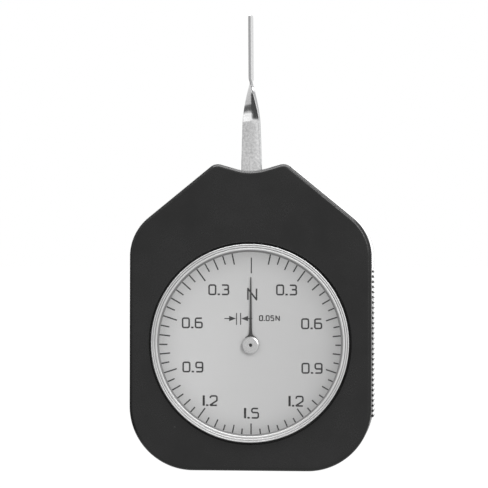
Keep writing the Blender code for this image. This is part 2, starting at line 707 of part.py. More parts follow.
def build_crystal(glass, rubber, plastic):
    """Build the crystal, the gasket in front of it and the spacer ring between it and the dial."""
    at = (0.0, WINDOW_HEIGHT)
    edge = RING_BORE - SEAT_GAP
    disc = cylinder_shape((0.0, 0.0), edge, CRYSTAL_FRONT_Y, CRYSTAL_BACK_Y, COVERED_RING_SEGMENTS)
    object_from("crystal", *disc, glass, at)
    rings = (
        ("crystal_gasket", rubber, GASKET_FRONT_Y, GASKET_BACK_Y),
        ("dial_spacer", plastic, CRYSTAL_BACK_Y + SEAT_GAP, DIAL_FRONT_Y - SEAT_GAP),
    )
    for name, material, front, back in rings:
        profile = ring_profile(SPACER_INNER_RADIUS, edge, front, back)
        object_from(name, *turned_shape(profile, COVERED_RING_SEGMENTS, closed=True), material, at)


def dial_foot_places():
    """Return where the dial's feet go through the movement's plate, as seen from the arbor."""
    return both_sides((DIAL_FOOT_HALF_SPACING, 0.0))


def build_dial_plate(material):
    """Build the dial, a thin disc with a hole for the arbor and two feet behind."""
    profile = ring_profile(DIAL_HOLE_RADIUS, FLANGE_RADIUS, DIAL_FRONT_Y, DIAL_BACK_Y)
    shape = turned_shape(profile, COVERED_RING_SEGMENTS, closed=True)
    dial = object_from("dial_plate", *shape, material, ARBOR_AT)
    middle = (DIAL_FRONT_Y + DIAL_BACK_Y) / 2
    feet = [
        cylinder_shape(at, DIAL_FOOT_RADIUS, middle, PLATE_BACK_Y, PIN_SEGMENTS) for at in dial_foot_places()
    ]
    join(dial, "dial_feet", *feet)


def stop_places():
    """Return where the stop pins stand: just past where the sector's waist reaches at full swing."""
    arm = SPRING_ARM + STOP_BELOW_SPRING
    angle = SWING + STOP_MARGIN + math.asin((SECTOR_WAIST / 2 + STOP_RADIUS) / arm)
    return both_sides((arm * math.sin(angle), PIVOT_HEIGHT - arm * math.cos(angle)))


def post_places():
    """Return where the springs' posts stand."""
    return both_sides((POST_HALF_SPACING, SPRING_HEIGHT))


def pillar_places():
    """Return where the three pillars stand."""
    upper = both_sides((PILLAR_HALF_SPACING, PIVOT_HEIGHT + PILLAR_RISE))
    return (*upper, (0.0, DIAL_HEIGHT - PILLAR_DROP))


def build_plate(material):
    """Build the front plate of the movement, with holes for all that stands on it."""
    ears = [(at, PLATE_EAR_RADIUS) for at in plate_screw_places()]
    supports = [(at, PILLAR_RADIUS) for at in (*pillar_places(), *post_places())]
    outline = hull([(ARBOR_AT, PLATE_RADIUS), (PIVOT_AT, PLATE_TOP_RADIUS), *ears, *supports])
    plate = object_from("movement_plate", *prism_shape(outline, PLATE_FRONT_Y, PLATE_BACK_Y), material)
    holes = [
        (ARBOR_AT, ARBOR_PIVOT_RADIUS + FIT_GAP + ARBOR_BUSH_WALL),
        (PIVOT_AT, SHAFT_PIVOT_RADIUS + FIT_GAP + SHAFT_BUSH_WALL),
        *[(at, SMALL_SCREW_RADIUS) for at in plate_screw_places()],
        *[(at, PILLAR_SPIGOT_RADIUS) for at in pillar_places()],
        *[(at, STOP_RADIUS) for at in stop_places()],
        *[(at, SPRING_PIN_RADIUS) for at in post_places()],
        *[((across, DIAL_HEIGHT + rise), DIAL_FOOT_RADIUS) for across, rise in dial_foot_places()],
    ]
    front, back = PLATE_FRONT_Y - CUT_OVERRUN, PLATE_BACK_Y + CUT_OVERRUN
    shapes = [cylinder_shape(at, radius + FIT_GAP, front, back, SHAFT_SEGMENTS) for at, radius in holes]
    cut(plate, "plate_holes", *shapes)


def stud_place():
    """Return where the hairspring's stud stands: beside its outer end, left of the arbor."""
    return (-(HAIRSPRING_OUTER_RADIUS + HAIRSPRING_THICKNESS / 2 + FIT_GAP + STUD_RADIUS), DIAL_HEIGHT)


def build_bridge(material):
    """Build the back plate of the movement, which carries the rear ends of both axles."""
    ears = [(at, BRIDGE_EAR_RADIUS) for at in pillar_places()]
    stud_ear = (stud_place(), STUD_RADIUS + STUD_EAR_MARGIN)
    outline = hull([(ARBOR_AT, BRIDGE_EYE_RADIUS), (PIVOT_AT, BRIDGE_EYE_RADIUS), stud_ear, *ears])
    bridge = object_from("movement_bridge", *prism_shape(outline, BRIDGE_FRONT_Y, BRIDGE_BACK_Y), material)
    holes = [
        (ARBOR_AT, ARBOR_PIVOT_RADIUS + FIT_GAP + ARBOR_BUSH_WALL),
        (PIVOT_AT, SHAFT_PIVOT_RADIUS + FIT_GAP + SHAFT_BUSH_WALL),
        (stud_place(), STUD_RADIUS),
        *[(at, SMALL_SCREW_RADIUS) for at in pillar_places()],
    ]
    front, back = BRIDGE_FRONT_Y - CUT_OVERRUN, BRIDGE_BACK_Y + CUT_OVERRUN
    shapes = [cylinder_shape(at, radius + FIT_GAP, front, back, SHAFT_SEGMENTS) for at, radius in holes]
    cut(bridge, "bridge_holes", *shapes)


def build_pillars(material):
    """Build the three pillars, each with a spigot in the plate and a tapped hole for its screw."""
    front = PLATE_BACK_Y + FIT_GAP
    back = BRIDGE_FRONT_Y - FIT_GAP
    bore = SMALL_SCREW_RADIUS + FIT_GAP
    profile = [
        (0, PLATE_FRONT_Y),
        (PILLAR_SPIGOT_RADIUS, PLATE_FRONT_Y),
        (PILLAR_SPIGOT_RADIUS, front),
        (PILLAR_RADIUS, front),
        (PILLAR_RADIUS, back),
        (bore, back),
        (bore, back - PILLAR_HOLE_DEPTH),
        (0, back - PILLAR_HOLE_DEPTH),
    ]
    for number, at in enumerate(pillar_places(), 1):
        object_from(f"pillar_{number}", *turned_shape(profile, SHAFT_SEGMENTS), material, at)


def build_bush(name, material, at, bore, wall, front, back):
    """Build a plain bush that stands a little proud of its plate on both sides."""
    profile = ring_profile(bore, bore + wall, front - BUSH_PROUD, back + BUSH_PROUD)
    object_from(name, *turned_shape(profile, SHAFT_SEGMENTS, closed=True), material, at)


def build_bushes(material):
    """Build the four bushes that the two axles turn in."""
    arbor = (material, ARBOR_AT, ARBOR_PIVOT_RADIUS + FIT_GAP, ARBOR_BUSH_WALL)
    shaft = (material, PIVOT_AT, SHAFT_PIVOT_RADIUS + FIT_GAP, SHAFT_BUSH_WALL)
    plate = (PLATE_FRONT_Y, PLATE_BACK_Y)
    bridge = (BRIDGE_FRONT_Y, BRIDGE_BACK_Y)
    build_bush("arbor_front_bush", *arbor, *plate)
    build_bush("arbor_back_bush", *arbor, *bridge)
    build_bush("feeler_front_bush", *shaft, *plate)
    build_bush("feeler_back_bush", *shaft, *bridge)


def build_arbor(material, axis):
    """Build the pointer's arbor: thin ends in the bushes, thicker where the pinion sits."""
    front = PLATE_BACK_Y + BUSH_PROUD + SHOULDER_PLAY
    back = BRIDGE_FRONT_Y - BUSH_PROUD - SHOULDER_PLAY
    profile = [
        (0, BOSS_FRONT_Y - ARBOR_TIP_PROUD),
        (ARBOR_TIP_RADIUS, BOSS_FRONT_Y - ARBOR_TIP_PROUD),
        (ARBOR_TIP_RADIUS, POINTER_BACK_Y),
        (ARBOR_PIVOT_RADIUS, POINTER_BACK_Y),
        (ARBOR_PIVOT_RADIUS, front),
        (ARBOR_RADIUS, front),
        (ARBOR_RADIUS, back),
        (ARBOR_PIVOT_RADIUS, back),
        (ARBOR_PIVOT_RADIUS, BRIDGE_BACK_Y),
        (0, BRIDGE_BACK_Y),
    ]
    object_from("pointer_arbor", *turned_shape(profile, SHAFT_SEGMENTS), material, parent=axis)


def build_boss(material, axis):
    """Build the turned button that holds the pointer on its arbor."""
    bore = ARBOR_TIP_RADIUS + FIT_GAP
    sleeve = bore + BOSS_SLEEVE_WALL
    profile = [
        (bore, BOSS_FRONT_Y),
        (BOSS_RADIUS - BOSS_EDGE, BOSS_FRONT_Y),
        (BOSS_RADIUS, BOSS_FRONT_Y + BOSS_EDGE),
        (BOSS_RADIUS, BOSS_BACK_Y),
        (sleeve, BOSS_BACK_Y),
        (sleeve, POINTER_BACK_Y - FIT_GAP),
        (bore, POINTER_BACK_Y - FIT_GAP),
    ]
    shape = turned_shape(profile, 2 * SHAFT_SEGMENTS, closed=True)
    object_from("pointer_boss", *shape, material, parent=axis)


def build_pointer(material, axis):
    """Build the pointer: an eye under the boss, a flared foot and a long taper."""
    right = [
        (POINTER_FOOT_WIDTH / 2 * across, POINTER_LENGTH * along) for along, across in POINTER_OUTLINE_SHARES
    ]
    foot = math.acos(right[0][0] / POINTER_EYE_RADIUS)
    eye = arc((0.0, 0.0), POINTER_EYE_RADIUS, math.pi - foot, math.pi + 2 * foot, BORE_SEGMENTS)
    outline = eye + right + [(-across, along) for across, along in reversed(right)]
    shape = prism_shape(outline, POINTER_FRONT_Y, POINTER_BACK_Y)
    pointer = object_from("pointer", *shape, material, parent=axis)
    bore = ARBOR_TIP_RADIUS + FIT_GAP + BOSS_SLEEVE_WALL + FIT_GAP
    front, back = POINTER_FRONT_Y - CUT_OVERRUN, POINTER_BACK_Y + CUT_OVERRUN
    cut(pointer, "pointer_eye", cylinder_shape((0.0, 0.0), bore, front, back, SHAFT_SEGMENTS))


def tooth_side(teeth, addendum, dedendum):
    """Return half a tooth as (radius, angle from its middle), root first."""
    pitch = MODULE * teeth / 2
    base = pitch * math.cos(PRESSURE_ANGLE)
    root = pitch - dedendum
    tip = pitch + addendum
    start = max(base, root)
    middle = math.pi / (2 * teeth) - BACKLASH / (2 * pitch) + math.tan(PRESSURE_ANGLE) - PRESSURE_ANGLE
    side = []
    for step in range(FLANK_STEPS + 1):
        radius = start + (tip - start) * step / FLANK_STEPS
        lean = math.acos(min(1.0, base / radius))
        side.append((radius, middle - math.tan(lean) + lean))
    if root < base:
        side.insert(0, (root, side[0][1]))
    return side


def toothed_arc(teeth, addendum, dedendum, first_angle, count):
    """Return the outline of some teeth, counter-clockwise about their wheel's centre."""
    side = tooth_side(teeth, addendum, dedendum)
    points = []
    for number in range(count):
        middle = first_angle + math.tau * number / teeth
        polar = [(radius, middle - angle) for radius, angle in side]
        polar += [(radius, middle + angle) for radius, angle in reversed(side)]
        points += [(radius * math.cos(angle), radius * math.sin(angle)) for radius, angle in polar]
    return points


def build_pinion(material, axis):
    """Build the pinion, with a gap between two teeth where the sector's middle tooth meets it."""
    first = math.pi / 2 + math.pi / PINION_TEETH
    addendum = PINION_ADDENDUM_SHARE * MODULE
    dedendum = PINION_DEDENDUM_SHARE * MODULE
    outline = toothed_arc(PINION_TEETH, addendum, dedendum, first, PINION_TEETH)
    front, back = SECTOR_FRONT_Y - PINION_OVERHANG, SECTOR_BACK_Y + PINION_OVERHANG
    pinion = object_from("pointer_pinion", *prism_shape(outline, front, back), material, parent=axis)
    bore = cylinder_shape(
        (0.0, 0.0), ARBOR_RADIUS + FIT_GAP, front - CUT_OVERRUN, back + CUT_OVERRUN, SHAFT_SEGMENTS
    )
    cut(pinion, "pinion_bore", bore)


def build_sector(material, axis):
    """Build the sector: a toothed rim, a waist, a yoke for the springs and an eye on the holder."""
    count = 2 * round(PINION_TEETH * POINTER_SWEEP / math.tau) + SECTOR_SPARE_TEETH
    pitch_angle = math.tau / SECTOR_TEETH
    first = -math.pi / 2 - pitch_angle * (count - 1) / 2
    addendum = SECTOR_ADDENDUM_SHARE * MODULE
    dedendum = SECTOR_DEDENDUM_SHARE * MODULE
    teeth = toothed_arc(SECTOR_TEETH, addendum, dedendum, first, count)
    rim_radius = PITCH_RADIUS - dedendum - SECTOR_RIM
    rim_half = pitch_angle * count / 2
    waist = SECTOR_WAIST / 2
    yoke = ANCHOR_HALF_SPACING + SPRING_PIN_RADIUS + SECTOR_YOKE_MARGIN
    right = [
        (rim_radius * math.sin(rim_half), -rim_radius * math.cos(rim_half)),
        (waist, -rim_radius * math.cos(rim_half)),
        (waist, -SPRING_ARM - SECTOR_YOKE_HEIGHT),
        (yoke, -SPRING_ARM - SECTOR_YOKE_HEIGHT / 2),
        (yoke, -SPRING_ARM + SECTOR_YOKE_HEIGHT / 2),
        (waist, -SPRING_ARM + SECTOR_YOKE_HEIGHT),
    ]
    neck = math.acos(waist / SECTOR_EYE_RADIUS)
    eye = arc((0.0, 0.0), SECTOR_EYE_RADIUS, -neck, math.pi + 2 * neck, BORE_SEGMENTS)
    outline = teeth + right + eye + [(-across, height) for across, height in reversed(right)]
    shape = prism_shape(outline, SECTOR_FRONT_Y, SECTOR_BACK_Y)
    sector = object_from("sector_gear", *shape, material, parent=axis)
    front, back = SECTOR_FRONT_Y - CUT_OVERRUN, SECTOR_BACK_Y + CUT_OVERRUN
    anchors = both_sides((ANCHOR_HALF_SPACING, -SPRING_ARM))
    cut(
        sector,
        "sector_holes",
        cylinder_shape((0.0, 0.0), SECTOR_BORE, front, back, BORE_SEGMENTS),
        *[cylinder_shape(at, SPRING_PIN_RADIUS + FIT_GAP, front, back, PIN_SEGMENTS) for at in anchors],
    )


def build_feeler_shaft(material, axis):
    """Build the shaft that the feeler and the sector turn on."""
    front = PLATE_BACK_Y + BUSH_PROUD + SHOULDER_PLAY
    back = BRIDGE_FRONT_Y - BUSH_PROUD - SHOULDER_PLAY
    profile = [
        (0, PLATE_FRONT_Y),
        (SHAFT_PIVOT_RADIUS, PLATE_FRONT_Y),
        (SHAFT_PIVOT_RADIUS, front),
        (SHAFT_RADIUS, front),
        (SHAFT_RADIUS, back),
        (SHAFT_PIVOT_RADIUS, back),
        (SHAFT_PIVOT_RADIUS, BRIDGE_BACK_Y),
        (0, BRIDGE_BACK_Y),
    ]
    object_from("feeler_shaft", *turned_shape(profile, SHAFT_SEGMENTS), material, parent=axis)


def feeler_screw_holes(front, back):
    """Return the holes for the two screws that clamp the feeler to its holder."""
    radius = SMALL_SCREW_RADIUS + FIT_GAP
    places = [(0.0, share * HOLDER_RISE) for share in FEELER_SCREW_SHARES]
    return [cylinder_shape(at, radius, front, back, PIN_SEGMENTS) for at in places]


def build_holder(material, axis):
    """Build the holder: a plate behind the feeler's foot and a boss that fills the sector's eye."""
    half = HOLDER_WIDTH / 2
    side = math.acos(half / HOLDER_EYE_RADIUS)
    eye = arc((0.0, 0.0), HOLDER_EYE_RADIUS, math.pi - side, math.pi + 2 * side, BORE_SEGMENTS)
    outline = eye + [(half, HOLDER_RISE), (-half, HOLDER_RISE)]
    shape = prism_shape(outline, HOLDER_FRONT_Y, HOLDER_BACK_Y)
    holder = object_from("feeler_holder", *shape, material, parent=axis)
    boss_back = SECTOR_BACK_Y + HOLDER_BOSS_PROUD
    middle = (HOLDER_FRONT_Y + HOLDER_BACK_Y) / 2
    boss = cylinder_shape((0.0, 0.0), HOLDER_BOSS_RADIUS, middle, boss_back, BORE_SEGMENTS)
    join(holder, "holder_boss", boss)
    front, back = HOLDER_FRONT_Y - CUT_OVERRUN, boss_back + CUT_OVERRUN
    shaft_hole = cylinder_shape((0.0, 0.0), SHAFT_RADIUS + FIT_GAP, front, back, SHAFT_SEGMENTS)
    cut(holder, "holder_holes", shaft_hole, *feeler_screw_holes(front, back))
    length = FEELER_THICKNESS + FIT_GAP + HOLDER_THICKNESS
    for number, share in enumerate(FEELER_SCREW_SHARES, 1):
        at = (0.0, share * HOLDER_RISE)
        seat = FEELER_FRONT_Y - FIT_GAP
        build_slotted_screw(f"feeler_screw_{number}", material, at, seat, length, -1, axis)


def feeler_section(rise, width, thickness, twist):
    """Return one cross-section of the feeler: a rectangle with chamfered corners, turned by a twist."""
    chamfer = min(FEELER_CHAMFER, thickness / 4)
    half_width, half_depth = width / 2, thickness / 2
    corners = [
        (half_width, half_depth - chamfer),
        (half_width - chamfer, half_depth),
        (chamfer - half_width, half_depth),
        (-half_width, half_depth - chamfer),
        (-half_width, chamfer - half_depth),
        (chamfer - half_width, -half_depth),
        (half_width - chamfer, -half_depth),
        (half_width, chamfer - half_depth),
    ]
    lean = -FEELER_LEAN * rise / FEELER_LENGTH
    cosine, sine = math.cos(twist), math.sin(twist)
    return [
        (lean + x * cosine - y * sine, FEELER_MIDDLE_Y + x * sine + y * cosine, rise) for x, y in corners
    ]


def feeler_sections():
    """Return the feeler's cross-sections from its foot to its rounded tip."""
    notch = NOTCH_HEIGHT - PIVOT_HEIGHT
    start = notch + FEELER_TWIST_RISE
    rises = (SHAFT_RADIUS + FEELER_FOOT_GAP, notch)
    sections = [feeler_section(rise, FEELER_ROOT_WIDTH, FEELER_THICKNESS, 0.0) for rise in rises]
    for step in range(TWIST_STEPS + 1):
        share = step / TWIST_STEPS
        eased = share - math.sin(math.tau * share) / (2 * math.tau)
        rise = start + FEELER_TWIST_LENGTH * share
        sections.append(feeler_section(rise, FEELER_WIDTH, FEELER_THICKNESS, FEELER_TWIST * eased))
    bevel_start = FEELER_LENGTH - FEELER_TIP_BEVEL_LENGTH
    sections.append(feeler_section(bevel_start, FEELER_WIDTH, FEELER_THICKNESS, FEELER_TWIST))
    for step in range(EDGE_STEPS + 1):
        angle = math.pi / 2 * step / EDGE_STEPS
        rise = FEELER_LENGTH - FEELER_TIP_ROUND * (1 - math.sin(angle))
        width = FEELER_WIDTH - 2 * FEELER_TIP_ROUND * (1 - math.cos(angle))
        share = (rise - bevel_start) / FEELER_TIP_BEVEL_LENGTH
        thickness = FEELER_THICKNESS + (FEELER_TIP_THICKNESS - FEELER_THICKNESS) * share
        sections.append(feeler_section(rise, width, thickness, FEELER_TWIST))
    return sections


def build_feeler(material, axis):
    """Build the feeler: a flat strip, given a quarter twist, that ends in a rounded, bevelled tip."""
    sections = feeler_sections()
    count = len(sections[0])
    points = [point for section in sections for point in section]
    faces = [tuple(range(count)), tuple(range(len(points) - count, len(points)))]
    for start in range(0, len(points) - count, count):
        for index in range(count):
            following = (index + 1) % count
            faces.append((start + index, start + following, start + following + count, start + index + count))
    feeler = object_from("feeler", points, faces, material, parent=axis)
    front, back = FEELER_FRONT_Y - CUT_OVERRUN, FEELER_BACK_Y + CUT_OVERRUN
    cut(feeler, "feeler_holes", *feeler_screw_holes(front, back))


def least_gap(points, turn, thickness):
    """Return the least gap between a wound piece's turns, measured on points at least a turn apart."""
    gaps = []
    for first in range(len(points)):
        gaps += [math.dist(points[first], point) for point in points[first + turn:]]
    return min(gaps) - thickness


def spring_path(side):
    """Return a return spring's wire, from its hook on the anchor pin to its hook on the post."""
    loop_radius = SPRING_PIN_RADIUS + FIT_GAP + SPRING_WIRE_RADIUS
    tangent = math.acos(loop_radius / SPRING_HOOK_REACH)
    start = -tangent - SPRING_HOOK_OPENING
    sweep = 2 * tangent + SPRING_HOOK_OPENING - math.tau
    loop = arc((0.0, 0.0), loop_radius, start, sweep, PIN_SEGMENTS)
    inner = [(ANCHOR_HALF_SPACING + across, up) for across, up in loop]
    outer = [(POST_HALF_SPACING - across, up) for across, up in reversed(loop)]
    start = ANCHOR_HALF_SPACING + SPRING_HOOK_REACH
    length = POST_HALF_SPACING - SPRING_HOOK_REACH - start
    points = [(side * across, SPRING_Y, SPRING_HEIGHT + up) for across, up in inner]
    steps = SPRING_TURNS * COIL_STEPS
    for step in range(steps + 1):
        from_end = min(step, steps - step) / COIL_STEPS
        radius = SPRING_COIL_RADIUS * min(1.0, 2 * from_end)
        angle = math.tau * step / COIL_STEPS
        across = side * (start + length * step / steps)
        points.append(
            (across, SPRING_Y + radius * math.cos(angle), SPRING_HEIGHT + radius * math.sin(angle))
        )
    points += [(side * across, SPRING_Y, SPRING_HEIGHT + up) for across, up in outer]
    return points


def build_wire(name, material, points, radius):
    """Build a wire of round section along some points."""
    curve = bpy.data.curves.new(name, "CURVE")
    curve.dimensions = "3D"
    curve.bevel_depth = radius
    curve.bevel_resolution = 1
    curve.use_fill_caps = True
    spline = curve.splines.new("POLY")
    spline.points.add(len(points) - 1)
    for place, point in zip(spline.points, points):
        place.co = (*point, 1.0)
    curve.materials.append(material)
    wire = bpy.data.objects.new(name, curve)
    bpy.context.scene.collection.objects.link(wire)


def build_springs(wire_finish, pin_finish, pivot_axis):
    """Build the two return springs, the posts and anchor pins that hold them, and the stop pins."""
    end = SPRING_Y + SPRING_WIRE_RADIUS + SPRING_PIN_PROUD
    post = [(0, PLATE_FRONT_Y), (SPRING_PIN_RADIUS, PLATE_FRONT_Y), (SPRING_PIN_RADIUS, end), (0, end)]
    anchor = [(0, SECTOR_FRONT_Y), (SPRING_PIN_RADIUS, SECTOR_FRONT_Y), (SPRING_PIN_RADIUS, end), (0, end)]
    stop_end = SECTOR_BACK_Y + SPRING_PIN_PROUD
    stop = [(0, PLATE_FRONT_Y), (STOP_RADIUS, PLATE_FRONT_Y), (STOP_RADIUS, stop_end), (0, stop_end)]
    for (name, side), stop_at in zip((("right", 1), ("left", -1)), stop_places()):
        path = spring_path(side)
        build_wire(f"return_spring_{name}", wire_finish, path, SPRING_WIRE_RADIUS)
        coil = path[PIN_SEGMENTS + 1:-PIN_SEGMENTS - 1]
        gap = least_gap(coil, COIL_STEPS, 2 * SPRING_WIRE_RADIUS)
        print(f"return_spring_{name}: least gap to itself {gap / MM:.2f} mm")
        post_at = (side * POST_HALF_SPACING, SPRING_HEIGHT)
        object_from(f"spring_post_{name}", *turned_shape(post, PIN_SEGMENTS), pin_finish, post_at)
        anchor_at = (side * ANCHOR_HALF_SPACING, -SPRING_ARM)
        pin = turned_shape(anchor, PIN_SEGMENTS)
        object_from(f"anchor_pin_{name}", *pin, pin_finish, anchor_at, pivot_axis)
        object_from(f"stop_pin_{name}", *turned_shape(stop, PIN_SEGMENTS), pin_finish, stop_at)


def build_hairspring(wire_finish, brass, steel, axis):
    """Build the flat spiral between the arbor's collet and the stud on the bridge."""
    front = SECTOR_BACK_Y + HAIRSPRING_LIFT
    back = front + HAIRSPRING_HEIGHT
    inner = COLLET_RADIUS + FIT_GAP + HAIRSPRING_THICKNESS / 2
    steps = HAIRSPRING_TURNS * HAIRSPRING_STEPS
    outline = [[], []]
    path = []
    for step in range(steps + 1):
        middle = inner + (HAIRSPRING_OUTER_RADIUS - inner) * step / steps
        angle = math.pi + math.tau * step / HAIRSPRING_STEPS
        path.append((middle * math.cos(angle), middle * math.sin(angle)))
        for side, way in zip(outline, (1, -1)):
            radius = middle + way * HAIRSPRING_THICKNESS / 2
            side.append((radius * math.cos(angle), radius * math.sin(angle)))
    spiral = outline[0] + outline[1][::-1]
    points = [(x, depth, z) for depth in (front, back) for x, z in spiral]
    count = len(spiral)
    faces = []
    for index in range(count):
        following = (index + 1) % count
        faces.append((index, following, following + count, index + count))
    for index in range(steps):
        near = (index, index + 1, count - 2 - index, count - 1 - index)
        faces.append(near)
        faces.append(tuple(corner + count for corner in near))
    object_from("hairspring", points, faces, wire_finish, ARBOR_AT)
    gap = least_gap(path, HAIRSPRING_STEPS - 1, HAIRSPRING_THICKNESS)
    print(f"hairspring: least gap to itself {gap / MM:.2f} mm")
    collet_front = (front + back - COLLET_HEIGHT) / 2
    collet = ring_profile(ARBOR_RADIUS + FIT_GAP, COLLET_RADIUS, collet_front, collet_front + COLLET_HEIGHT)
    object_from("hairspring_collet", *turned_shape(collet, SHAFT_SEGMENTS, closed=True), brass, parent=axis)
    stud = [(0, front), (STUD_RADIUS, front), (STUD_RADIUS, BRIDGE_BACK_Y), (0, BRIDGE_BACK_Y)]
    object_from("hairspring_stud", *turned_shape(stud, PIN_SEGMENTS), steel, stud_place())


def build_movement_screws(material):
    """Build the screws that hold the plate to the case and the bridge to its pillars."""
    length = FIT_GAP + PLATE_THICKNESS + PLATE_SCREW_BITE
    for number, at in enumerate(plate_screw_places(), 1):
        build_slotted_screw(f"plate_screw_{number}", material, at, PLATE_BACK_Y + FIT_GAP, length, 1)
    length = FIT_GAP + BRIDGE_THICKNESS + BRIDGE_SCREW_BITE
    for number, at in enumerate(pillar_places(), 1):
        build_slotted_screw(f"bridge_screw_{number}", material, at, BRIDGE_BACK_Y + FIT_GAP, length, 1)


def joint_axis(name, at):
    """Return an empty on the axis that a group of pieces turns about."""
    empty = bpy.data.objects.new(name, None)
    empty.location = (at[0], 0.0, at[1])
    bpy.context.scene.collection.objects.link(empty)
    return empty


def main():
    """Clear the scene and build every piece."""
    for thing in list(bpy.data.objects):
        bpy.data.objects.remove(thing)
    black_plastic = finish("black_plastic", (0.030, 0.030, 0.031), 0.42)
    silver = finish("silver_ring", (0.62, 0.62, 0.63), 0.28, 1.0)
    dial_silver = finish("dial_silver", (0.60, 0.60, 0.60), 0.45, 0.2)
    glass = finish("clear_glass", (0.95, 0.97, 0.98), 0.05, 0.0, 0.15)
    rubber = finish("gasket_rubber", (0.04, 0.04, 0.04), 0.7)
    white_plastic = finish("spacer_plastic", (0.55, 0.55, 0.54), 0.5)
    black_paint = finish("pointer_paint", (0.02, 0.02, 0.02), 0.4)
    polished = finish("polished_steel", (0.62, 0.62, 0.63), 0.18, 1.0)
    steel = finish("turned_steel", (0.5, 0.5, 0.51), 0.3, 1.0)
    brass = finish("brass", (0.70, 0.52, 0.24), 0.3, 1.0)
    bronze = finish("spring_bronze", (0.60, 0.40, 0.22), 0.3, 1.0)
    zinc = finish("zinc_screw", (0.55, 0.55, 0.56), 0.35, 1.0)

    build_front_case(black_plastic)
    build_back_cover(black_plastic)
    build_cover_screws(zinc)
    build_bezel_ring(silver)
    build_crystal(glass, rubber, white_plastic)
    build_dial_plate(dial_silver)

    pointer_axis = joint_axis("pointer_axis", ARBOR_AT)
    build_arbor(steel, pointer_axis)
    build_boss(polished, pointer_axis)
    build_pointer(black_paint, pointer_axis)
    build_pinion(brass, pointer_axis)
    build_hairspring(bronze, brass, steel, pointer_axis)

    feeler_axis = joint_axis("feeler_axis", PIVOT_AT)
    build_feeler_shaft(steel, feeler_axis)
    build_holder(steel, feeler_axis)
    build_sector(brass, feeler_axis)
    build_feeler(polished, feeler_axis)
    build_springs(steel, steel, feeler_axis)

    build_plate(brass)
    build_bridge(brass)
    build_pillars(brass)
    build_bushes(bronze)
    build_movement_screws(zinc)


main()
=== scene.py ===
"""Looks of a hand-held dial tension gauge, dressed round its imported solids.

Each sub-assembly of the gauge is a class that holds its sizes and builds its pieces. All sizes are
in metres. The gauge stands on its flat bottom edge: +X right, -Y out of the dial, +Z up the feeler.
"""

import logging
import math
from collections.abc import Iterable, Iterator, Sequence
from contextlib import contextmanager
from dataclasses import dataclass, field
from enum import Enum

import bmesh
import bpy
from mathutils import Matrix, Vector

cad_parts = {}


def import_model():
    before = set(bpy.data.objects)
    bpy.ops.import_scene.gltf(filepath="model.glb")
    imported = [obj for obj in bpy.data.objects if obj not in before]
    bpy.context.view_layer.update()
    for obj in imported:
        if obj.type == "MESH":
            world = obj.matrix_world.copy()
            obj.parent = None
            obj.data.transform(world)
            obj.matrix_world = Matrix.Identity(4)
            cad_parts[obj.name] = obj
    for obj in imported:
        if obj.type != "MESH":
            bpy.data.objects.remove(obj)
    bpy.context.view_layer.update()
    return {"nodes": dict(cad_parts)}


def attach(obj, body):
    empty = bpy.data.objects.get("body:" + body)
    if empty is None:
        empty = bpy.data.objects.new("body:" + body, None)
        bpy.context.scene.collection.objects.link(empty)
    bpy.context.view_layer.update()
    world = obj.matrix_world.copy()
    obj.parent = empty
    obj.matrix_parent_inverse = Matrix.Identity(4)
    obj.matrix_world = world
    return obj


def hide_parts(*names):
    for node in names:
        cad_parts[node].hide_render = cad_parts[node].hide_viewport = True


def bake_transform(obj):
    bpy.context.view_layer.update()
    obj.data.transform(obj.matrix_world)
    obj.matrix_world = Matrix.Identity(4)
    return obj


LOG = logging.getLogger("gauge")
MM = 0.001
SHARP_FROM = math.radians(32.0)
WELD = 1e-8
EDGE_STEPS = 9
NOISE_MIDDLE = (0.3, 0.7)
MIX_UNDER, MIX_OVER, MIX_COLOUR = 6, 7, 2
UPRIGHT = Matrix.Rotation(math.pi / 2, 4, "X")

Point2 = tuple[float, float]
Point3 = tuple[float, float, float]
Station = tuple[float, float, float, float]
Value = "float | Signal"
Socket = bpy.types.NodeSocket
Material = bpy.types.Material
Mesh = bpy.types.Mesh
Piece = bpy.types.Object

DIAL_AXIS: Point2 = (0.0, 33.6 * MM)
WINDOW_AXIS: Point2 = (0.0, 34.2 * MM)


class Slot(Enum):
    """The finishes of the record, by their slot names."""

    CASE = "case_plastic"
    RING = "ring_silver"
    DIAL = "dial_silver"
    CRYSTAL = "crystal_glass"
    GASKET = "gasket_rubber"
    SPACER = "spacer_plastic"
    POINTER = "pointer_paint"
    FEELER = "feeler_steel"
    TURNED = "turned_steel"
    BRASS = "movement_brass"
    BRONZE = "bush_bronze"
    SCREW = "screw_zinc"


class Body(Enum):
    """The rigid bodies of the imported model."""

    HOUSING = "housing"
    FEELER_ARM = "feeler_arm"
    POINTER_TRAIN = "pointer_train"


# Nodes


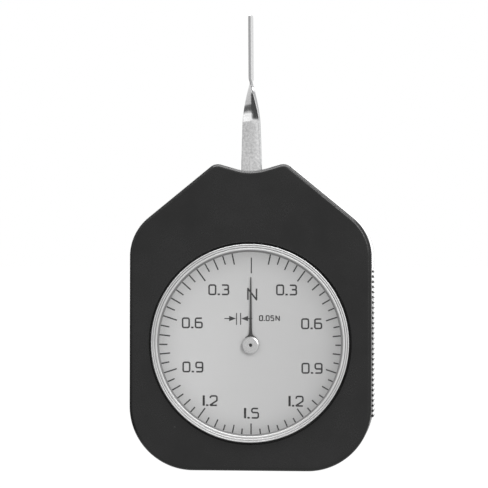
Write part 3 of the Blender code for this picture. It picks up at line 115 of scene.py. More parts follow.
class Bench:
    """Adds nodes to one tree, of a material or of a shape."""

    def __init__(self, tree: bpy.types.NodeTree) -> None:
        """Takes the tree that the nodes go into."""
        self.tree = tree

    def add(self, kind: str, settings: dict | None = None, values: dict | None = None) -> bpy.types.Node:
        """Adds a node.

        Args:
            kind: the node's type.
            settings: its own settings, such as a Math node's operation, set first.
            values: what its inputs get, by name or number: a signal, a socket or a constant.

        Returns:
            The new node.
        """
        node = self.tree.nodes.new(kind)
        for name, value in (settings or {}).items():
            setattr(node, name, value)
        for key, value in (values or {}).items():
            source = value.socket if isinstance(value, Signal) else value
            if isinstance(source, Socket):
                self.tree.links.new(source, node.inputs[key])
            else:
                node.inputs[key].default_value = source
        return node

    def socket(self, kind: str, settings: dict | None = None, values: dict | None = None) -> Socket:
        """Adds a node, as add does, and returns its first output."""
        return self.add(kind, settings, values).outputs[0]

    def signal(self, kind: str, output: int | str = 0, settings: dict | None = None,
               values: dict | None = None) -> "Signal":
        """Adds a node, as add does, and returns one of its outputs, ready for arithmetic."""
        return Signal(self, self.add(kind, settings, values).outputs[output])

    def vector(self, first: Value, second: Value, third: Value) -> Socket:
        """Returns three numbers as one vector."""
        return self.socket("ShaderNodeCombineXYZ", None, {0: first, 1: second, 2: third})

    def apart(self, vector: Socket) -> list["Signal"]:
        """Returns a vector's three numbers."""
        node = self.add("ShaderNodeSeparateXYZ", None, {0: vector})
        return [Signal(self, number) for number in node.outputs]


class Signal:
    """A number that varies over a surface or from item to item; arithmetic on it adds Math nodes."""

    def __init__(self, bench: Bench, socket: Socket) -> None:
        """Wraps a socket of the bench's tree."""
        self.bench = bench
        self.socket = socket

    def _math(self, operation: str, *terms: Value) -> "Signal":
        """Adds one Math node over the terms."""
        values = dict(enumerate(terms))
        return self.bench.signal("ShaderNodeMath", 0, {"operation": operation}, values)

    def __add__(self, other: Value) -> "Signal":
        """Sum."""
        return self._math("ADD", self, other)

    __radd__ = __add__

    def __sub__(self, other: Value) -> "Signal":
        """Difference."""
        return self._math("SUBTRACT", self, other)

    def __rsub__(self, other: Value) -> "Signal":
        """Difference from a constant."""
        return self._math("SUBTRACT", other, self)

    def __mul__(self, other: Value) -> "Signal":
        """Product."""
        return self._math("MULTIPLY", self, other)

    __rmul__ = __mul__

    def __truediv__(self, other: Value) -> "Signal":
        """Quotient."""
        return self._math("DIVIDE", self, other)

    def __pow__(self, other: Value) -> "Signal":
        """Power."""
        return self._math("POWER", self, other)

    def __mod__(self, other: Value) -> "Signal":
        """Remainder."""
        return self._math("MODULO", self, other)

    def __lt__(self, other: Value) -> "Signal":
        """One where this is less, and nought elsewhere."""
        return self._math("LESS_THAN", self, other)

    def floor(self) -> "Signal":
        """Whole part."""
        return self._math("FLOOR", self)

    def sine(self) -> "Signal":
        """Sine of an angle in radians."""
        return self._math("SINE", self)

    def cosine(self) -> "Signal":
        """Cosine of an angle in radians."""
        return self._math("COSINE", self)

    def arctan(self, other: Value) -> "Signal":
        """Angle of the point (other, self)."""
        return self._math("ARCTAN2", self, other)

    def away(self, place: Value) -> "Signal":
        """Distance from a place."""
        return self._math("ABSOLUTE", self - place)

    def least(self, other: Value) -> "Signal":
        """The lesser of two."""
        return self._math("MINIMUM", self, other)

    def most(self, other: Value) -> "Signal":
        """The greater of two."""
        return self._math("MAXIMUM", self, other)

    def swing(self, share: float) -> "Signal":
        """A signal from 0 to 1 as a swing about nought, a share wide."""
        return (self - 0.5) * share

    def between(self, low: float, high: float, first: float = 0.0, last: float = 1.0) -> "Signal":
        """Maps the range from low to high onto the one from first to last, held at both ends."""
        values = {0: self, 1: low, 2: high, 3: first, 4: last}
        return self.bench.signal("ShaderNodeMapRange", 0, {"clamp": True}, values)


class Surface(Bench):
    """The node tree of one material, with the patterns that the finishes share."""

    def __init__(self, name: str) -> None:
        """Makes the material and takes its tree.

        Args:
            name: the material's name.
        """
        self.material = bpy.data.materials.new(name)
        self.material.use_nodes = True
        super().__init__(self.material.node_tree)
        self.tree.nodes.clear()
        self.place = self.add("ShaderNodeTexCoord").outputs["Object"]
        self.across, self.depth, self.height = self.apart(self.place)

    def noise(self, scale: float, detail: float = 2.0, vector: Socket | None = None,
              rough: float = 0.5) -> Signal:
        """Returns cloudy noise from 0 to 1, with so many features to a metre, and so many finer layers."""
        values = {"Vector": vector or self.place, "Scale": scale, "Detail": detail, "Roughness": rough}
        return self.signal("ShaderNodeTexNoise", 0, None, values)

    def lines(self, along: Signal, scale: float) -> Signal:
        """Returns noise that changes in one direction only, with so many lines to a metre."""
        values = {"W": along * scale, "Scale": 1.0, "Detail": 3.0}
        return self.signal("ShaderNodeTexNoise", 0, {"noise_dimensions": "1D"}, values)

    def radius(self, at: Point2) -> Signal:
        """Returns the distance from an axis that runs front to back through (across, height)."""
        sideways, up = self.across - at[0], self.height - at[1]
        return (sideways * sideways + up * up) ** 0.5

    def edges(self, reach: float, turn: Point2) -> Signal:
        """Finds the object's outer edges.

        Args:
            reach: how wide the edge counts, in metres.
            turn: how far the normals differ where it starts to count, and where it counts in full.

        Returns:
            1 on the edges and 0 away from them.
        """
        soft = self.socket("ShaderNodeBevel", {"samples": 4}, {"Radius": reach})
        hard = self.add("ShaderNodeNewGeometry").outputs["Normal"]
        same = self.signal("ShaderNodeVectorMath", "Value", {"operation": "DOT_PRODUCT"}, {0: soft, 1: hard})
        return (1.0 - same).between(*turn)

    def specks(self, scale: float, size: float, share: float) -> Signal:
        """Scatters dots.

        Args:
            scale: how many cells fit in a metre.
            size: a dot's radius as a share of its cell.
            share: which share of the cells has a dot.

        Returns:
            1 in the dots and 0 elsewhere.
        """
        cells = self.add("ShaderNodeTexVoronoi", None, {"Vector": self.place, "Scale": scale})
        near = Signal(self, cells.outputs["Distance"]) < size
        chance = self.signal("ShaderNodeSeparateColor", 0, None, {0: cells.outputs["Color"]})
        return near * (chance < share)

    def colour(self, light: Signal, dark: Point3, bright: Point3) -> Socket:
        """Returns a colour between two, chosen by a signal."""
        return self.blend(light, (*dark, 1.0), bright)

    def blend(self, share: Signal, under: Socket | tuple, over: Point3) -> Socket:
        """Returns a colour laid over another by a share."""
        values = {0: share, MIX_UNDER: under, MIX_OVER: (*over, 1.0)}
        return self.add("ShaderNodeMix", {"data_type": "RGBA"}, values).outputs[MIX_COLOUR]

    def bump(self, height: Signal, step: float) -> Socket:
        """Returns a normal raised by a height signal, whose 1 stands a step high, in metres."""
        return self.socket("ShaderNodeBump", None, {"Strength": 1.0, "Distance": step, "Height": height})

    def close(self, **inputs: object) -> Material:
        """Adds the main shader and the output.

        Args:
            inputs: the main shader's inputs, with _ for a blank.

        Returns:
            The material.
        """
        values = {name.replace("_", " "): value for name, value in inputs.items()}
        shader = self.socket("ShaderNodeBsdfPrincipled", None, values)
        return self.close_with(shader)

    def close_with(self, shader: Socket) -> Material:
        """Puts a shader on the output and returns the material."""
        self.add("ShaderNodeOutputMaterial", None, {0: shader})
        return self.material


# Finishes


def grey(value: float) -> Point3:
    """Returns a grey."""
    return value, value, value


@dataclass(frozen=True)
class MouldedPlastic:
    """Black moulded plastic with a fine spark-eroded grain, rubbed edges and a little dust."""

    name: str
    dark: Point3 = (0.0062, 0.0062, 0.0062)
    bright: Point3 = (0.0095, 0.0095, 0.0095)
    rubbed: Point3 = (0.038, 0.038, 0.038)
    roughness: float = 0.26
    specular: float = 0.30
    grain_scale: float = 3200.0
    grain_step: float = 0.012 * MM
    cloud_scale: float = 70.0
    cloud_rough: float = 0.6
    rough_shares: Point3 = (0.14, 0.10, 0.12)
    wear_reach: float = 0.35 * MM
    wear_turn: Point2 = (0.03, 0.4)
    wear_scale: float = 420.0
    wear_range: Point2 = (0.42, 0.68)
    wear_share: float = 0.75
    dust_scale: float = 190.0
    dust_size: float = 0.045
    dust_cells: float = 0.3
    dust_share: float = 0.5

    def material(self) -> Material:
        """Mixes the finish.

        Returns:
            Its material.
        """
        made = Surface(self.name)
        grain = made.noise(self.grain_scale, 2.0)
        cloud = made.noise(self.cloud_scale, 4.0, rough=self.cloud_rough)
        wear = made.edges(self.wear_reach, self.wear_turn)
        wear = wear * made.noise(self.wear_scale, 4.0).between(*self.wear_range)
        dust = made.specks(self.dust_scale, self.dust_size, self.dust_cells)
        body = made.colour(cloud.between(*NOISE_MIDDLE), self.dark, self.bright)
        worn = made.blend((wear * self.wear_share + dust * self.dust_share).least(1.0), body, self.rubbed)
        by_cloud, by_grain, by_wear = self.rough_shares
        rough = self.roughness + cloud.swing(by_cloud) + grain.swing(by_grain) - wear * by_wear
        return made.close(Base_Color=worn, Roughness=rough, Specular_IOR_Level=self.specular,
                          Normal=made.bump(grain, self.grain_step))


@dataclass(frozen=True)
class TurnedMetal:
    """Metal turned on a lathe: fine rings round an axis, a few nicks, a brighter edge, and painted shade: in
    its grooves, at its inner lip and in the gap behind its front.
    """

    name: str
    at: Point2
    dark: Point3
    bright: Point3
    roughness: float
    ring_scale: float = 12000.0
    ring_step: float = 0.0003 * MM
    smear_scale: float = 260.0
    nick_scales: Point2 = (40.0, 900.0)
    nick_range: Point2 = (0.62, 0.8)
    tone_shares: Point3 = (0.3, 0.3, 0.2)
    rough_shares: Point3 = (0.08, 0.10, 0.06)
    edge_reach: float = 0.12 * MM
    edge_turn: Point2 = (0.05, 0.5)
    edge_share: float = 0.4
    # The colour of the painted shade in the grooves, at the lip and in the gap.
    shadow: Point3 = (0.012, 0.012, 0.012)
    # Painted shade: the grooves are darkened in the colour, where shade falls between the beads.
    grooves: tuple[float, ...] = ()
    groove_half: float = 0.20 * MM
    groove_shade: float = 0.5
    # Painted shade: a dark line on the inner lip, where the ring shades the dial's edge.
    lip: Point2 = (0.0, 0.0)
    lip_shade: float = 0.6
    # Painted shade: the colour darkens with depth in the gap between the ring and the case.
    gap_depths: Point2 = (1.0, 2.0)
    gap_shade: float = 0.93

    def material(self) -> Material:
        """Mixes the finish.

        Returns:
            Its material.
        """
        made = Surface(self.name)
        radius = made.radius(self.at)
        # Painted shade: darker with depth, in the gap behind the ring's front.
        shade = made.depth.between(*self.gap_depths) * self.gap_shade
        # Painted shade: the inner lip is darkened into a dark line round the window.
        if self.lip[1]:
            shade = shade.most(radius.between(*self.lip, self.lip_shade, 0.0))
        # Painted shade: the colour darkens along each groove.
        for groove in self.grooves:
            shade = shade.most(radius.away(groove).between(0.0, self.groove_half, self.groove_shade, 0.0))
        rings = made.lines(radius + made.depth, self.ring_scale)
        smear = made.noise(self.smear_scale, 4.0)
        around = (made.height - self.at[1]).arctan(made.across - self.at[0])
        polar = made.vector(around * self.nick_scales[0], radius * self.nick_scales[1], 0.0)
        nicks = made.noise(1.0, 2.0, polar).between(*self.nick_range)
        ring_share, smear_share, base = self.tone_shares
        tone = (rings * ring_share + smear * smear_share + base).between(*NOISE_MIDDLE)
        edge = made.edges(self.edge_reach, self.edge_turn)
        clean = made.colour((tone + edge * self.edge_share).least(1.0), self.dark, self.bright)
        by_ring, by_smear, by_nick = self.rough_shares
        rough = self.roughness + rings.swing(by_ring) + smear.swing(by_smear) + nicks * by_nick
        return made.close(Base_Color=made.blend(shade, clean, self.shadow), Metallic=1.0, Roughness=rough,
                          Normal=made.bump(rings, self.ring_step))


@dataclass(frozen=True)
class GrainedMetal:
    """Sheet metal with a straight grain, as on a movement's plates."""

    name: str
    dark: Point3
    bright: Point3
    roughness: float = 0.32
    grain_scale: float = 4200.0
    grain_along: float = 60.0
    grain_step: float = 0.0015 * MM
    stain_scale: float = 120.0
    stain_rough: float = 0.6
    edge_reach: float = 0.15 * MM
    edge_turn: Point2 = (0.05, 0.5)
    tone_shares: Point3 = (0.4, 0.6, 0.4)
    rough_shares: Point2 = (0.14, 0.18)

    def material(self) -> Material:
        """Mixes the finish.

        Returns:
            Its material.
        """
        made = Surface(self.name)
        stretched = made.vector(made.across * self.grain_scale, made.depth * self.grain_scale,
                                made.height * self.grain_along)
        grain = made.noise(1.0, 3.0, stretched)
        stain = made.noise(self.stain_scale, 4.0, rough=self.stain_rough)
        edge = made.edges(self.edge_reach, self.edge_turn)
        grain_share, stain_share, edge_share = self.tone_shares
        shade = grain * grain_share + stain.between(*NOISE_MIDDLE) * stain_share + edge * edge_share
        by_grain, by_stain = self.rough_shares
        rough = self.roughness + grain.swing(by_grain) + stain.swing(by_stain)
        return made.close(Base_Color=made.colour(shade.least(1.0), self.dark, self.bright), Metallic=1.0,
                          Roughness=rough, Normal=made.bump(grain, self.grain_step))


@dataclass(frozen=True)
class StripSteel:
    """Polished strip steel, brushed along its length, which its UV map follows through the twist."""

    name: str
    strip_map: str
    dark: Point3 = (0.64, 0.64, 0.645)
    bright: Point3 = (1.0, 1.0, 1.0)
    cut: Point3 = (0.38, 0.38, 0.385)
    roughness: float = 0.15
    brush_scales: Point2 = (9000.0, 130.0)
    brush_step: float = 0.0010 * MM
    cloud_scales: Point2 = (420.0, 160.0)
    mottle_scales: Point2 = (1700.0, 1500.0)
    mottle_range: Point2 = (0.35, 0.65)
    tone_shares: tuple[float, ...] = (0.2, 0.2, 0.6, 0.3, 0.3)
    rough_shares: Point3 = (0.10, 0.12, 0.15)
    pit_scale: float = 1500.0
    pit_size: float = 0.10
    pit_cells: float = 0.12
    edge_reach: float = 0.10 * MM
    edge_turn: Point2 = (0.05, 0.4)
    # Painted shade: a dark line along one wide face, next to its chamfer.
    burr: float = 10.75 * MM
    painted_shade_line_half: float = 0.18 * MM
    painted_line_shade: float = 0.6
    sheared: float = 11.6 * MM
    sheared_half: Point2 = (0.3 * MM, 0.4 * MM)
    sheared_shade: float = 0.5
    cut_share: float = 0.4

    def material(self) -> Material:
        """Mixes the finish.

        Returns:
            Its material.
        """
        made = Surface(self.name)
        across, along, _ = made.apart(made.socket("ShaderNodeUVMap", {"uv_map": self.strip_map}))
        layers = ((3.0, self.brush_scales), (4.0, self.cloud_scales), (2.0, self.mottle_scales))
        brush, cloud, mottle = (
            made.noise(1.0, detail, made.vector(across * scales[0], along * scales[1], 0.0))
            for detail, scales in layers)
        pits = made.specks(self.pit_scale, self.pit_size, self.pit_cells)
        edge = made.edges(self.edge_reach, self.edge_turn)
        # Painted shade: a dark line along one wide face, beside its chamfer.
        burr = across.away(self.burr).between(0.0, self.painted_shade_line_half, self.painted_line_shade, 0.0)
        from_shear = across.away(self.sheared)
        # The mask also takes the darker finish of the sheared edge, which is that edge's own colour.
        burr = burr.most(from_shear.between(*self.sheared_half, self.sheared_shade, 0.0))
        shares = self.tone_shares
        tone = (brush * shares[0] + cloud.between(*NOISE_MIDDLE) * shares[1]
                + mottle.between(*self.mottle_range) * shares[2] + edge * shares[3] - pits * shares[4] - burr)
        by_brush, by_cloud, by_pit = self.rough_shares
        rough = self.roughness + brush.swing(by_brush) + cloud.swing(by_cloud) + pits * by_pit
        clean = made.colour(tone.least(1.0).most(0.0), self.dark, self.bright)
        cut = from_shear.between(*self.sheared_half, self.cut_share, 0.0)
        return made.close(Base_Color=made.blend(cut, clean, self.cut), Metallic=1.0, Roughness=rough,
                          Normal=made.bump(brush, self.brush_step))


@dataclass(frozen=True)
class SatinDial:
    """Matt silver dial lacquer over a fine blasted grain, with painted shade: darker to the right, as if lit
    from the left, and darker at its rim, where the ring shades it.
    """

    name: str
    at: Point2
    radius: float
    dark: Point3 = (0.46, 0.46, 0.46)
    bright: Point3 = (0.79, 0.79, 0.79)
    tone: float = 0.43
    # Painted light: how much paler the left side is and darker the right side.
    tilt: float = 0.22
    # Painted shade: the dial darkens towards its rim, where the ring shades it.
    painted_rim_shares: Point2 = (0.76, 0.96)
    painted_rim_shade: float = 0.13
    roughness: float = 0.48
    metallic: float = 0.15
    grain_scale: float = 7000.0
    grain_step: float = 0.002 * MM
    cloud_scale: float = 55.0
    tone_shares: Point2 = (0.12, 0.10)
    rough_share: float = 0.12

    def material(self) -> Material:
        """Mixes the finish.

        Returns:
            Its material.
        """
        made = Surface(self.name)
        grain = made.noise(self.grain_scale, 2.0)
        cloud = made.noise(self.cloud_scale, 3.0)
        # Painted shade: the mask for the darker band towards the rim.
        rim = made.radius(self.at).between(*(share * self.radius for share in self.painted_rim_shares))
        # Painted light: the tone runs from paler on the left to darker on the right.
        tilt = made.across.between(-self.radius, self.radius, self.tilt, -self.tilt)
        by_cloud, by_grain = self.tone_shares
        tone = self.tone + cloud.swing(by_cloud) + grain.swing(by_grain) - rim * self.painted_rim_shade + tilt
        return made.close(Base_Color=made.colour(tone, self.dark, self.bright), Metallic=self.metallic,
                          Roughness=self.roughness + grain.swing(self.rough_share),
                          Normal=made.bump(grain, self.grain_step))


@dataclass(frozen=True)
class Coating:
    """A thin coat of paint or ink, or a soft moulding, with an uneven tone and a slightly rough skin."""

    name: str
    dark: Point3
    bright: Point3
    roughness: float
    skin_scale: float = 2200.0
    skin_step: float = 0.003 * MM
    skin_detail: float = 2.0
    cloud_scale: float = 300.0
    cloud_range: Point2 = (0.3, 0.7)
    rough_share: float = 0.16

    def material(self) -> Material:
        """Mixes the finish.

        Returns:
            Its material.
        """
        made = Surface(self.name)
        skin = made.noise(self.skin_scale, self.skin_detail)
        cloud = made.noise(self.cloud_scale, 3.0)
        return made.close(Base_Color=made.colour(cloud.between(*self.cloud_range), self.dark, self.bright),
                          Roughness=self.roughness + cloud.swing(self.rough_share),
                          Normal=made.bump(skin, self.skin_step))


@dataclass(frozen=True)
class ClearCrystal:
    """Clear mineral crystal: see-through, with a faint gloss that grows towards a flat view."""

    name: str
    clear: Point3 = (0.98, 0.98, 0.98)
    mirror: Point3 = (0.95, 0.95, 0.95)
    index: float = 1.45
    gloss: float = 0.55
    roughness: float = 0.03
    smear_scale: float = 90.0
    smear_range: Point2 = (0.2, 0.8)
    smear_shares: Point2 = (0.75, 1.0)
    rough_share: float = 0.02

    def material(self) -> Material:
        """Mixes the finish.

        Returns:
            Its material.
        """
        made = Surface(self.name)
        smear = made.noise(self.smear_scale, 3.0)
        mask = made.signal("ShaderNodeFresnel", 0, None, {"IOR": self.index}) * self.gloss
        mask = mask * smear.between(*self.smear_range, *self.smear_shares)
        clear = made.socket("ShaderNodeBsdfTransparent", None, {"Color": (*self.clear, 1.0)})
        glossy = made.socket("ShaderNodeBsdfPrincipled", None, {
            "Base Color": (*self.mirror, 1.0), "Metallic": 1.0,
            "Roughness": self.roughness + smear * self.rough_share})
        return made.close_with(made.socket("ShaderNodeMixShader", None, {0: mask, 1: clear, 2: glossy}))


# Shapes


def arc(centre: Point2, radius: float, start: float, sweep: float, steps: int) -> list[Point2]:
    """Returns the points of an arc, both ends among them, from the angle where it starts over its sweep."""
    angles = [start + sweep * step / steps for step in range(steps + 1)]
    return [(centre[0] + radius * math.cos(a), centre[1] + radius * math.sin(a)) for a in angles]


@dataclass(frozen=True)
class Outline:
    """A counter-clockwise outline whose corners are (across, height, rounding)."""

    corners: tuple[Point3, ...]
    arc_step: float = math.radians(2.25)
    least_round: float = 0.3 * MM

    def headings(self, index: int) -> tuple[float, float]:
        """Finds how the outline turns at a corner.

        Args:
            index: the corner's number.

        Returns:
            The heading of the edge that arrives there, and the turn.
        """
        across, height, _ = self.corners[index]
        before, after = self.corners[index - 1], self.corners[(index + 1) % len(self.corners)]
        arriving = math.atan2(height - before[1], across - before[0])
        leaving = math.atan2(after[1] - height, after[0] - across)
        return arriving, math.remainder(leaving - arriving, math.tau)

    def inset(self, distance: float) -> "Outline":
        """Moves the outline inwards, with its roundings kept parallel.

        Args:
            distance: how far.

        Returns:
            The moved outline.
        """
        moved = []
        for index, (across, height, radius) in enumerate(self.corners):
            arriving, turn = self.headings(index)
            inward = arriving + turn / 2 + math.pi / 2
            reach = distance / math.cos(turn / 2)
            shrunk = radius - distance if turn > 0 else radius + distance
            place = (across + reach * math.cos(inward), height + reach * math.sin(inward))
            moved.append((*place, max(shrunk, self.least_round)))
        return Outline(tuple(moved), self.arc_step, self.least_round)

    def centre(self, index: int) -> tuple[Point2, float]:
        """Finds the arc that rounds a corner.

        Args:
            index: the corner's number.

        Returns:
            The arc's middle, and the direction from there to the corner.
        """
        across, height, radius = self.corners[index]
        arriving, turn = self.headings(index)
        outward = arriving + turn / 2 - math.copysign(math.pi / 2, turn)
        reach = radius / math.cos(turn / 2)
        return (across - reach * math.cos(outward), height - reach * math.sin(outward)), outward

    def points(self) -> list[Point2]:
        """Draws the outline.

        Returns:
            Its points.
        """
        found = []
        for index, (_, _, radius) in enumerate(self.corners):
            arriving, turn = self.headings(index)
            middle, _ = self.centre(index)
            start = arriving - math.copysign(math.pi / 2, turn)
            found += arc(middle, radius, start, turn, max(3, round(abs(turn) / self.arc_step)))
        return found


@dataclass(frozen=True)
class Solid:
    """The points and faces of one or more closed forms."""

    points: list[Point3]
    faces: list[tuple[int, ...]]

    @classmethod
    def loft(cls, outlines: Sequence[Sequence[Point2]], depths: Sequence[float]) -> "Solid":
        """Joins outlines that have as many points each.

        Args:
            outlines: their points, as (across, height).
            depths: the depth of each outline.

        Returns:
            The closed form.
        """
        count = len(outlines[0])
        points = [(x, depth, z) for outline, depth in zip(outlines, depths) for x, z in outline]
        faces = [tuple(range(count)), tuple(range(len(points) - count, len(points)))]
        return cls(points, faces + cls.walls(len(points), count))

    @staticmethod
    def walls(total: int, count: int) -> list[tuple[int, ...]]:
        """Lays faces between rings of points that follow each other in one list.

        Args:
            total: the number of points.
            count: how many of them make a ring.

        Returns:
            The faces.
        """
        faces = []
        for start in range(0, total - count, count):
            for index in range(count):
                after = (index + 1) % count
                faces.append((start + index, start + after, start + after + count, start + index + count))
        return faces

    @classmethod
    def turned(cls, profile: Sequence[Point2], segments: int, at: Point2 = (0.0, 0.0)) -> "Solid":
        """Turns an open profile round an axis.

        Args:
            profile: its points as (radius, depth), the first and the last on the axis.
            segments: how many sides the form has.
            at: where the axis stands, as (across, height).

        Returns:
            The closed form.
        """
        points, rings, faces = [], [], []
        for radius, depth in profile:
            if radius == 0:
                rings.append([len(points)] * segments)
                points.append((at[0], depth, at[1]))
                continue
            rings.append(list(range(len(points), len(points) + segments)))
            points += [(x, depth, z) for x, z in arc(at, radius, 0.0, math.tau, segments)[:-1]]
        for first, second in zip(rings, rings[1:]):
            for index in range(segments):
                after = (index + 1) % segments
                corners = (first[index], first[after], second[after], second[index])
                faces.append(tuple(dict.fromkeys(corners)))
        return cls(points, faces)

    @classmethod
    def together(cls, solids: Iterable["Solid"]) -> "Solid":
        """Takes several forms as one.

        Args:
            solids: the forms, which stay apart.

        Returns:
            One list of points and faces.
        """
        points, faces = [], []
        for solid in solids:
            faces += [tuple(index + len(points) for index in face) for face in solid.faces]
            points += solid.points
        return cls(points, faces)

    def mesh(self, name: str) -> Mesh:
        """Makes the form a mesh whose faces point outwards.

        Args:
            name: the mesh's name.

        Returns:
            The mesh.
        """
        mesh = bpy.data.meshes.new(name)
        mesh.from_pydata(self.points, [], self.faces)
        face_outwards(mesh, WELD)
        return mesh


@contextmanager
def edited(mesh: Mesh) -> Iterator[bmesh.types.BMesh]:
    """Opens a mesh for changes, and writes them back at the end.

    Args:
        mesh: the mesh.

    Returns:
        Its points, edges and faces, for a with block.
    """
    built = bmesh.new()
    built.from_mesh(mesh)
    yield built
    built.to_mesh(mesh)
    built.free()


def face_outwards(mesh: Mesh, weld: float = 0.0) -> None:
    """Turns a mesh's faces outwards.

    Args:
        mesh: the mesh.
        weld: how near points are made one first, if at all.
    """
    with edited(mesh) as built:
        if weld:
            bmesh.ops.remove_doubles(built, verts=built.verts, dist=weld)
        bmesh.ops.recalc_face_normals(built, faces=built.faces)


def ease(mesh: Mesh) -> None:
    """Shades a mesh smooth, with its edges sharp where two faces meet at more than SHARP_FROM.

    Args:
        mesh: the mesh.
    """
    with edited(mesh) as built:
        for face in built.faces:
            face.smooth = True
        for edge in built.edges:
            edge.smooth = edge.is_manifold and edge.calc_face_angle(0.0) < SHARP_FROM


def rod(at: Point2, radius: float, front: float, back: float, segments: int = 48) -> Solid:
    """Returns a round bar along the depth."""
    return Solid.turned([(0, front), (radius, front), (radius, back), (0, back)], segments, at)


def box(low: Point3, high: Point3) -> Solid:
    """Returns a block between two corners."""
    outline = [(low[0], low[2]), (high[0], low[2]), (high[0], high[2]), (low[0], high[2])]
    return Solid.loft([outline, outline], [low[1], high[1]])


def link(name: str, mesh: Mesh) -> Piece:
    """Puts a mesh into the scene.

    Args:
        name: the new object's name.
        mesh: the mesh.

    Returns:
        The object.
    """
    made = bpy.data.objects.new(name, mesh)
    bpy.context.scene.collection.objects.link(made)
    return made


def settle(made: Piece) -> Piece:
    """Replaces an object's mesh by what its modifiers make, and takes the modifiers off.

    Args:
        made: the object.

    Returns:
        The object, with a plain mesh.
    """
    bpy.context.view_layer.update()
    graph = bpy.context.evaluated_depsgraph_get()
    mesh = bpy.data.meshes.new_from_object(made.evaluated_get(graph), preserve_all_data_layers=True,
                                           depsgraph=graph)
    made.modifiers.clear()
    made.data = mesh
    mesh.name = made.name
    return made


def carve(made: Piece, steps: Sequence[tuple[str, Solid]]) -> Piece:
    """Joins forms to an object or cuts them out of it.

    Args:
        made: the object.
        steps: each UNION or DIFFERENCE, and the form.

    Returns:
        The object, with a plain mesh.
    """
    helpers = []
    for number, (operation, solid) in enumerate(steps):
        helper = link(f"{made.name}_helper_{number}", solid.mesh("helper"))
        modifier = made.modifiers.new(f"step_{number}", "BOOLEAN")
        modifier.operation, modifier.solver, modifier.object = operation, "EXACT", helper
        helpers.append(helper)
    settle(made)
    for helper in helpers:
        bpy.data.objects.remove(helper)
    return made


class ShapeTree(Bench):
    """A Geometry Nodes tree with named inputs that is run on a base mesh."""

    def __init__(self, name: str) -> None:
        """Starts a tree whose first inputs are the base mesh and the finish.

        Args:
            name: the tree's name.
        """
        super().__init__(bpy.data.node_groups.new(name, "GeometryNodeTree"))
        self.entry = self.tree.nodes.new("NodeGroupInput")
        self.base, self.finish = self.input("Base", "Geometry"), self.input("Finish", "Material")
        self.tree.interface.new_socket(name="Shape", in_out="OUTPUT", socket_type="NodeSocketGeometry")

    def input(self, name: str, kind: str) -> Socket:
        """Adds a named input to the tree and returns it."""
        self.tree.interface.new_socket(name=name, in_out="INPUT", socket_type=f"NodeSocket{kind}")
        return self.entry.outputs[name]

    def number(self, name: str) -> Signal:
        """Adds a named size to the tree's inputs and returns it."""
        return Signal(self, self.input(name, "Float"))

    def count(self, name: str) -> Signal:
        """Adds a named whole number to the tree's inputs and returns it."""
        return Signal(self, self.input(name, "Int"))

    def index(self) -> Signal:
        """Returns each item's number."""
        return self.signal("GeometryNodeInputIndex")

    def line(self) -> Socket:
        """Returns the base mesh's edges as a curve."""
        return self.socket("GeometryNodeMeshToCurve", None, {0: self.base})

    def sweep(self, path: Socket, section: Socket, caps: bool = False) -> Socket:
        """Returns a section swept along a path."""
        values = {"Curve": path, "Profile Curve": section, "Fill Caps": caps}
        return self.socket("GeometryNodeCurveToMesh", None, values)

    def close(self, shape: Socket) -> "ShapeTree":
        """Ends the tree: instances become real and take the finish.

        Args:
            shape: what the tree makes.

        Returns:
            The tree.
        """
        real = self.socket("GeometryNodeRealizeInstances", None, {0: shape})
        dressed = self.socket("GeometryNodeSetMaterial", None, {0: real, "Material": self.finish})
        self.add("NodeGroupOutput", None, {0: dressed})
        return self

    def run(self, name: str, base: Mesh, finish: Material,
            sizes: dict[str, float | int]) -> Piece:
        """Runs the tree on a base mesh.

        Args:
            name: the new object's name.
            base: the mesh that it starts from.
            finish: the material.
            sizes: a value for each named input.

        Returns:
            The object, with a plain mesh.
        """
        made = link(name, base)
        modifier = made.modifiers.new("shape", "NODES")
        modifier.node_group = self.tree
        wanted = {"Finish": finish, **sizes}
        for item in self.tree.interface.items_tree:
            if item.in_out == "INPUT" and item.name in wanted:
                modifier[item.identifier] = wanted.pop(item.name)
        if wanted:
            raise KeyError(f"{self.tree.name} has no input named {sorted(wanted)}")
        return settle(made)


def wires(lines: Sequence[Sequence[Point2]]) -> Mesh:
    """Draws polylines, as the base of a tree.

    Args:
        lines: the points of each, in its own plane; a line that ends where it starts is closed.

    Returns:
        A mesh of edges.
    """
    mesh = bpy.data.meshes.new("wires")
    points, edges = [], []
    for line in lines:
        start, closed = len(points), line[0] == line[-1]
        points += [(x, y, 0.0) for x, y in line[:len(line) - closed]]
        edges += [(i, i + 1) for i in range(start, len(points) - 1)]
        if closed:
            edges.append((len(points) - 1, start))
    mesh.from_pydata(points, edges, [])
    return mesh


def turning_tree() -> ShapeTree:
    """Plans how a closed profile is turned round an axis, for rings and buttons.

    Returns:
        The tree.
    """
    tree = ShapeTree("turned_on_an_axis")
    path_radius, segments = tree.number("Path Radius"), tree.count("Segments")
    circle = tree.socket("GeometryNodeCurvePrimitiveCircle", None, {
        "Resolution": segments, "Radius": path_radius})
    path = tree.socket("GeometryNodeSetCurveNormal", {"mode": "Z_UP"}, {0: circle})
    swept = tree.sweep(path, tree.line())
    return tree.close(tree.socket("GeometryNodeMergeByDistance", None, {0: swept, "Distance": WELD}))


def wire_tree() -> ShapeTree:
    """Plans how a round wire gets its thickness along its path.

    Returns:
        The tree.
    """
    tree = ShapeTree("round_wire")
    radius, sides = tree.number("Wire Radius"), tree.count("Sides")
    section = tree.socket("GeometryNodeCurvePrimitiveCircle", None, {"Resolution": sides, "Radius": radius})
    return tree.close(tree.sweep(tree.line(), section, caps=True))


